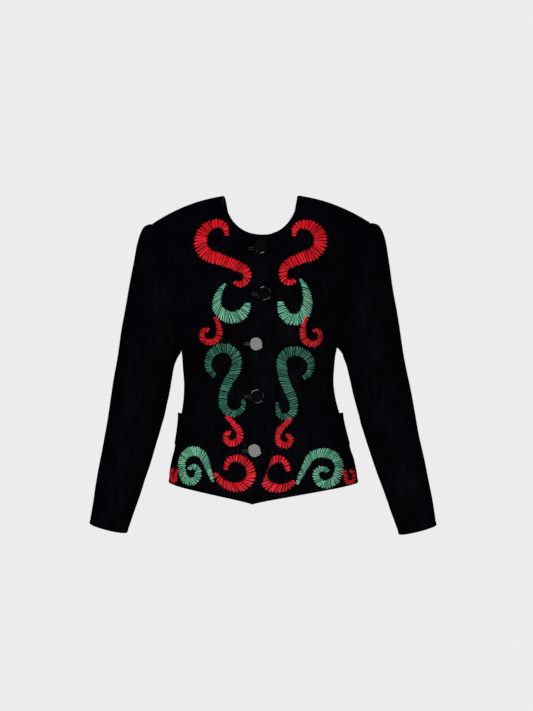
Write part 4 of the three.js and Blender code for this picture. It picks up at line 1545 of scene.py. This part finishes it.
@dataclass
class Embroidery:
    """One scroll on one front, as separate satin stitches of thick yarn over a padded middle."""

    scroll: Scroll
    front: Front
    wardrobe: Wardrobe
    sides: int = 8  # faces round a stitch
    steps: int = 10  # faces along a stitch
    fullness: float = 0.97  # a stitch's width over the room it has
    yarn_high: float = 3.0
    pad: float = 0.8
    sink: float = 0.5
    probe: float = 4.0  # step along the scroll that gives a stitch its heading
    unsteady: float = 3.5  # degrees that a stitch may lean off its course
    steepest: float = 0.72  # cosine of the lean beyond which stitches grow no longer

    def build(self) -> bpy.types.Object:
        """Lays every stitch of the scroll and makes the piece.

        Returns:
            The new object.
        """
        side = self.front.side
        name = f"satin_{self.scroll.name}_{side.word}"
        draw = random.Random(name)
        line = self.scroll.centre_line(side)
        on_cloth = np.array([self.front.spot(float(x), float(z))[0] for x, z in line])
        walked = lengths_along(on_cloth, 0)
        count = round(walked[-1] / self.scroll.pitch)
        mesh = bmesh.new()
        mesh.loops.layers.uv.new("stitch")
        marks = {
            "tone": mesh.faces.layers.float.new("tone"),
            "crest": mesh.verts.layers.float.new("crest"),
            "end": mesh.verts.layers.float.new("end"),
        }
        for k in range(count):
            at = (k + 0.5 + draw.uniform(-0.08, 0.08)) * walked[-1] / count
            self.lay(mesh, marks, line, walked, at, draw)
        mesh.normal_update()
        return smooth_object(name, mesh, self.wardrobe.get(self.scroll.yarn))

    def lay(
        self, mesh: bmesh.types.BMesh, marks: dict, line: np.ndarray, walked: np.ndarray, at: float,
        draw: random.Random,
    ) -> None:  # fmt: skip
        """Lays one stitch across the scroll.

        Args:
            mesh: the scroll's mesh, in metres.
            marks: the layers for each stitch's own tone, the crest of its yarn, which sets the painted shade beside
                it, and its ends, which set its painted highlight.
            line: the scroll's centre line.
            walked: the distance along it on the cloth at each point.
            at: the stitch's distance along it.
            draw: this scroll's own random numbers.
        """
        scroll, side = self.scroll, self.front.side
        share = at / walked[-1]
        centre, before, after = (self.on_line(line, walked, at + step) for step in (0, -self.probe, self.probe))
        way = (after - before) / np.linalg.norm(after - before)
        bend = after - 2 * centre + before
        curve = (way[0] * bend[1] - way[1] * bend[0]) / self.probe**2  # per mm, towards the side that is crossed to
        lean = np.interp(share, (0, 0.12, 0.5, 0.88, 1), (0, *scroll.slant, 0))
        lean += draw.uniform(-self.unsteady, self.unsteady)
        turn = math.radians(90 + side.value * lean)
        across = np.array([
            way[0] * math.cos(turn) - way[1] * math.sin(turn), way[0] * math.sin(turn) + way[1] * math.cos(turn)
        ])  # fmt: skip
        beside = self.probe / 2
        probes = [self.front.spot(*(centre + across * step).tolist())[0] for step in (-beside, beside)]
        foreshortened = mix(1, min(self.probe / (probes[1] - probes[0]).length, 1), 0.5)
        upright = math.cos(math.radians(lean))
        half = scroll.width(share) / 2 / max(upright, self.steepest) * foreshortened
        near, far = -half + draw.uniform(-0.9, 0.6), half + draw.uniform(-0.6, 0.9)
        wide = scroll.pitch * self.fullness * upright * draw.uniform(0.93, 1.07)
        bow, rise = draw.uniform(-0.6, 0.6), draw.uniform(-0.15, 0.35)
        made = bmesh.ops.create_uvsphere(
            mesh, u_segments=self.sides, v_segments=self.steps, radius=1, calc_uvs=True
        )["verts"]
        lengthways = Vector((across[0], 0, across[1]))
        rings: dict[float, tuple[Vector, Vector, Vector]] = {}
        for vertex in made:
            end = max(-1.0, min(1.0, vertex.co.z))
            key = round(end, 3)
            if key not in rings:
                e = (1 + math.copysign(abs(end) ** 0.85, end)) / 2
                reach = mix(near, far, e)
                middle = math.sin(math.pi * e)
                flat = centre + across * reach + way * bow * middle
                place, normal = self.front.spot(float(flat[0]), float(flat[1]))
                room = min(max(1 - curve * reach, 0.5), 1.45)
                lift = self.yarn_high / 2 - self.sink + rise + self.pad * middle**0.6 - 0.5 * (1 - middle**0.3)
                rings[key] = (place + normal * lift, normal, normal.cross(lengthways).normalized() * room)
            place, normal, aside = rings[key]
            radial = Vector((vertex.co.x, vertex.co.y)).normalized() * (1 - abs(end) ** 4) ** 0.5
            offset = aside * (radial.x * wide / 2) + normal * (radial.y * self.yarn_high / 2)
            vertex.co = (place + offset) * MM
            # marks for the painted shade beside the yarn's crest and the painted highlight at its ends
            vertex[marks["crest"]] = max(radial.y, 0.0)
            vertex[marks["end"]] = abs(end) ** 3
        shade = draw.uniform(0.15, 0.6)
        for face in {face for vertex in made for face in vertex.link_faces}:
            face[marks["tone"]] = shade

    @staticmethod
    def on_line(line: np.ndarray, walked: np.ndarray, at: float) -> np.ndarray:
        """The centre line's point at a distance along it, going straight on past its ends.

        Args:
            line: the centre line.
            walked: the distance along it on the cloth at each point.
            at: the distance.

        Returns:
            The point (x, z).
        """
        held = min(max(at, 0.0), walked[-1])
        point = np.array([np.interp(held, walked, line[:, k]) for k in range(2)])
        if at < 0:
            return point + (line[0] - line[4]) / np.linalg.norm(line[0] - line[4]) * -at
        if at > walked[-1]:
            return point + (line[-1] - line[-5]) / np.linalg.norm(line[-1] - line[-5]) * (at - walked[-1])
        return point


# ------------------------------------------------------------------ fastening
@dataclass(frozen=True)
class ButtonPlace:
    """Where a button is sewn, and if it hangs plumb on a loose shank, how far it is turned aside in degrees."""

    x: float
    z: float
    aside: float | None = None


BUTTON_PLACES = (
    ButtonPlace(6, -111),
    ButtonPlace(13, -200),
    ButtonPlace(-1, -296, aside=-17),
    ButtonPlace(-2, -398),
    ButtonPlace(-4, -502, aside=-17),
)


@dataclass
class Button:
    """A flat round button on its shank, with a raised rim and a sloping side."""

    number: int
    place: ButtonPlace
    front: Front
    wardrobe: Wardrobe
    high: float = 6.4
    slack: float = 2.6  # how far a loose button stands out on a longer shank
    rooted: float = 0.8  # and how far that shank runs into the cloth
    steps: int = 64
    sharp: float = 50.0  # degrees at which an edge of the button stays sharp
    # Its profile from the shank over the side and the rim to the middle of the face: distance out, height.
    profile: tuple = (
        (0, 0), (4, 0), (4, 1), (13, 1), (13.9, 1.25), (14.35, 1.8), (14.5, 2.6), (14.45, 3.5), (14.2, 4.4),
        (13.9, 5.2), (13.5, 5.8), (13.1, 6.15), (12.8, 6.3), (12.6, 6.3), (12.4, 6.2), (12.2, 6.1), (12, 6.08),
        (7, 6.13), (0, 6.15),
    )  # fmt: skip

    def build(self) -> bpy.types.Object:
        """Spins the button's profile and seats it where its node lies.

        Returns:
            The new object.
        """
        foot = 0.0 if self.place.aside is None else -self.slack - self.rooted
        profile = [(across * MM, (up or foot) * MM) for across, up in self.profile]
        mesh = spun(profile, self.steps, 0.005 * MM)
        low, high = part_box(f"button_{self.number}")
        _, out = self.front.spot(self.place.x, self.place.z)
        seat = (low + high) / 2 - out * self.high / 2 * MM
        if self.place.aside is not None:
            turn = math.radians(self.place.aside)
            seat += out * self.slack * MM
            out = Vector((math.sin(turn), -math.cos(turn), 0))
        mesh.transform(Matrix.Translation(seat) @ out.to_track_quat("Z", "Y").to_matrix().to_4x4())
        piece = smooth_object(f"polished_button_{self.number}", mesh, self.wardrobe.get(PolishedButton()))
        piece.data.set_sharp_from_angle(angle=math.radians(self.sharp))
        return piece


@dataclass
class Buttonhole:
    """A bound buttonhole: two corded lips that meet along the slit."""

    number: int
    place: ButtonPlace
    front: Front
    wardrobe: Wardrobe
    past: float = 4.0
    length: float = 30.0
    lip: float = 3.3  # width of a lip
    high: float = 1.1
    apart: float = 0.25
    lift: float = 0.3  # of a lip's underside off the cloth

    def build(self) -> bpy.types.Object:
        """Lays both lips on the cloth and makes the piece.

        Returns:
            The new object.
        """
        mesh = bmesh.new()
        for way in (1, -1):
            made = bmesh.ops.create_uvsphere(mesh, u_segments=10, v_segments=20, radius=1)["verts"]
            for vertex in made:
                end = max(-1.0, min(1.0, vertex.co.z))
                e = (1 + math.copysign(abs(end) ** 0.7, end)) / 2
                squared = max(1 - end * end, 1e-9) ** 0.5
                fullness = (1 - abs(end) ** 12) ** 0.5
                x = self.place.x + self.past - self.length * e
                middle = way * (self.lip / 2 + self.apart)
                up = middle + vertex.co.x / squared * fullness * self.lip / 2
                foot, normal = self.front.spot(x, self.place.z + up)
                lift = self.lift + self.high / 2 + vertex.co.y / squared * fullness * self.high / 2
                vertex.co = (foot + normal * lift) * MM
        bmesh.ops.recalc_face_normals(mesh, faces=mesh.faces)
        return smooth_object(f"bound_buttonhole_{self.number}", mesh, self.wardrobe.get(SatinBinding()))


# ------------------------------------------------------------------ studio
class Shows(Enum):
    """Where a light shows: on the cloth, as a reflection in the buttons or in both ways."""

    CLOTH = "cloth"
    BUTTONS = "buttons"
    BOTH = "both"


@dataclass
class Studio:
    """A pale round backdrop that sweeps up from the floor, soft lights and the camera."""

    look: tuple = (0.011, 0.0, -0.319)
    azimuth: float = 3.0
    distance: float = 3.0
    lens: float = 76.0
    floor_z: float = -1.35
    room: float = 6.0
    sweep: float = 1.6
    wall: float = 12.0
    steps: int = 96
    pale: str = "#ececec"

    def build_room(self) -> None:
        """The floor, its sweep and the wall, spun as one bowl."""
        bend = [
            (self.room - self.sweep * (1 - math.sin(turn)), self.floor_z + self.sweep * (1 - math.cos(turn)))
            for turn in map(math.radians, range(0, 91, 6))
        ]
        mesh = spun([(0, self.floor_z), *bend, (self.room, self.wall)], self.steps, 0.5 * MM)
        backdrop = smooth_object("backdrop", mesh, self.paper())

    def paper(self) -> bpy.types.Material:
        """Seamless pale paper, lit evenly: it glows for the camera and lights the jacket only a little.

        Returns:
            The new material.
        """
        material, tree = new_material("seamless_paper")
        path = add_node(tree, "LightPath")
        glossy = add_node(
            tree, "MapRange", {"Value": path.outputs["Is Glossy Ray"], "To Min": 0.12, "To Max": 0.015}
        ).outputs[0]
        strength = add_node(
            tree, "MapRange", {"Value": path.outputs["Is Camera Ray"], "To Min": glossy, "To Max": 1.0}
        ).outputs[0]
        glow = add_node(tree, "Emission", {"Color": linear(self.pale), "Strength": strength})
        add_node(tree, "OutputMaterial", {"Surface": glow.outputs[0]})
        return material

    def light(
        self, name: str, place: tuple, size: tuple, power: float, aim: tuple, shows: Shows = Shows.CLOTH
    ) -> None:
        """Hangs a soft rectangular light.

        Args:
            name: the light's name.
            place: where it hangs.
            size: its width and height in metres.
            power: its power in watts.
            aim: the point that it is turned to.
            shows: where it shows.
        """
        data = bpy.data.lights.new(name, "AREA")
        data.shape = "RECTANGLE"
        data.size, data.size_y = size
        data.energy = power
        lamp = bpy.data.objects.new(name, data)
        lamp.location = place
        lamp.rotation_euler = (Vector(aim) - Vector(place)).to_track_quat("-Z", "Y").to_euler()
        lamp.visible_camera = False
        lamp.visible_glossy, lamp.visible_diffuse = shows is not Shows.CLOTH, shows is not Shows.BUTTONS
        bpy.context.scene.collection.objects.link(lamp)

    def build_lights(self) -> None:
        """Key, fill, hair and low lights on the cloth, a strip for the buttons, and a card that shows in both ways."""
        chest = (0, 0, -0.3)
        self.light("key", (-1.7, -2.3, 1.1), (1.3, 1.3), 75, chest)
        self.light("fill", (2.2, -2.0, 0.2), (1.4, 1.8), 34, chest)
        self.light("hair", (0.9, 1.6, 1.9), (1.6, 0.8), 50, chest)
        self.light("low", (0.0, -2.4, -1.25), (2.0, 0.6), 8, chest)
        self.light("strip", (0.4, -1.4, -1.15), (1.5, 0.5), 40, chest, shows=Shows.BUTTONS)
        self.light("card", (-1.38, -1.9, -0.38), (0.5, 0.9), 5, (0, -0.12, -0.4), shows=Shows.BOTH)
        world = bpy.data.worlds.new("studio")
        world.use_nodes = True
        world.node_tree.nodes["Background"].inputs["Color"].default_value = linear(self.pale)
        world.node_tree.nodes["Background"].inputs["Strength"].default_value = 0.1
        bpy.context.scene.world = world

    def build_camera(self) -> None:
        """The camera, level with the middle of the jacket and a few degrees to its left."""
        data = bpy.data.cameras.new("camera")
        data.lens = self.lens
        data.sensor_width = 36.0
        turn = math.radians(self.azimuth)
        look = Vector(self.look)
        eye = look + Vector((math.sin(turn), -math.cos(turn), 0)) * self.distance
        camera = bpy.data.objects.new("camera", data)
        camera.location = eye
        camera.rotation_euler = (look - eye).to_track_quat("-Z", "Y").to_euler()
        bpy.context.scene.collection.objects.link(camera)
        bpy.context.scene.camera = camera
        bpy.context.scene.view_settings.view_transform = "Standard"


def cloth_area(piece: bpy.types.Object) -> float:
    """The area of a piece's outer face in square metres, before its wall."""
    return sum(face.area for face in piece.data.polygons)


def main() -> None:
    """Builds and dresses every piece in order."""
    studio = Studio()
    studio.build_camera()
    studio.build_room()
    studio.build_lights()

    wardrobe = Wardrobe()
    back = Back(wardrobe)
    fronts = {side: Front(side, wardrobe) for side in Side}
    sleeves = {side: Sleeve(side, fronts[side], back, wardrobe) for side in Side}
    built = {}
    for side in Side:
        built[f"front_{side.word}"] = (fronts[side].build(), fronts[side].cut)
        built[f"sleeve_{side.word}"] = (sleeves[side].build(), sleeves[side].cut)
    built["back"] = (back.build(), back.cut)
    for side in Side:
        welt = PocketWelt(fronts[side], wardrobe)
        built[f"pocket_welt_{side.word}"] = (welt.build(), welt.cut)
    for node, (piece, cut) in built.items():
        dress(piece, "velvet", node)
        log.info("%s: %.4f square metres of cloth", piece.name, cloth_area(piece))

    for side in Side:
        for scroll in SCROLLS:
            piece = Embroidery(scroll, fronts[side], wardrobe).build()
            dress(piece, scroll.yarn.slot, f"{scroll.name}_{side.word}")
            log.info("%s: %d faces", piece.name, len(piece.data.polygons))

    for number, place in enumerate(BUTTON_PLACES, start=1):
        hole = Buttonhole(number, place, fronts[Side.RIGHT], wardrobe).build()
        dress(hole, "velvet", f"buttonhole_{number}")
        button = Button(number, place, fronts[Side.RIGHT], wardrobe).build()
        dress(button, "button", f"button_{number}")
        log.info("%s and %s", hole.name, button.name)

    bpy.context.view_layer.update()


if __name__ == "__main__":
    main()
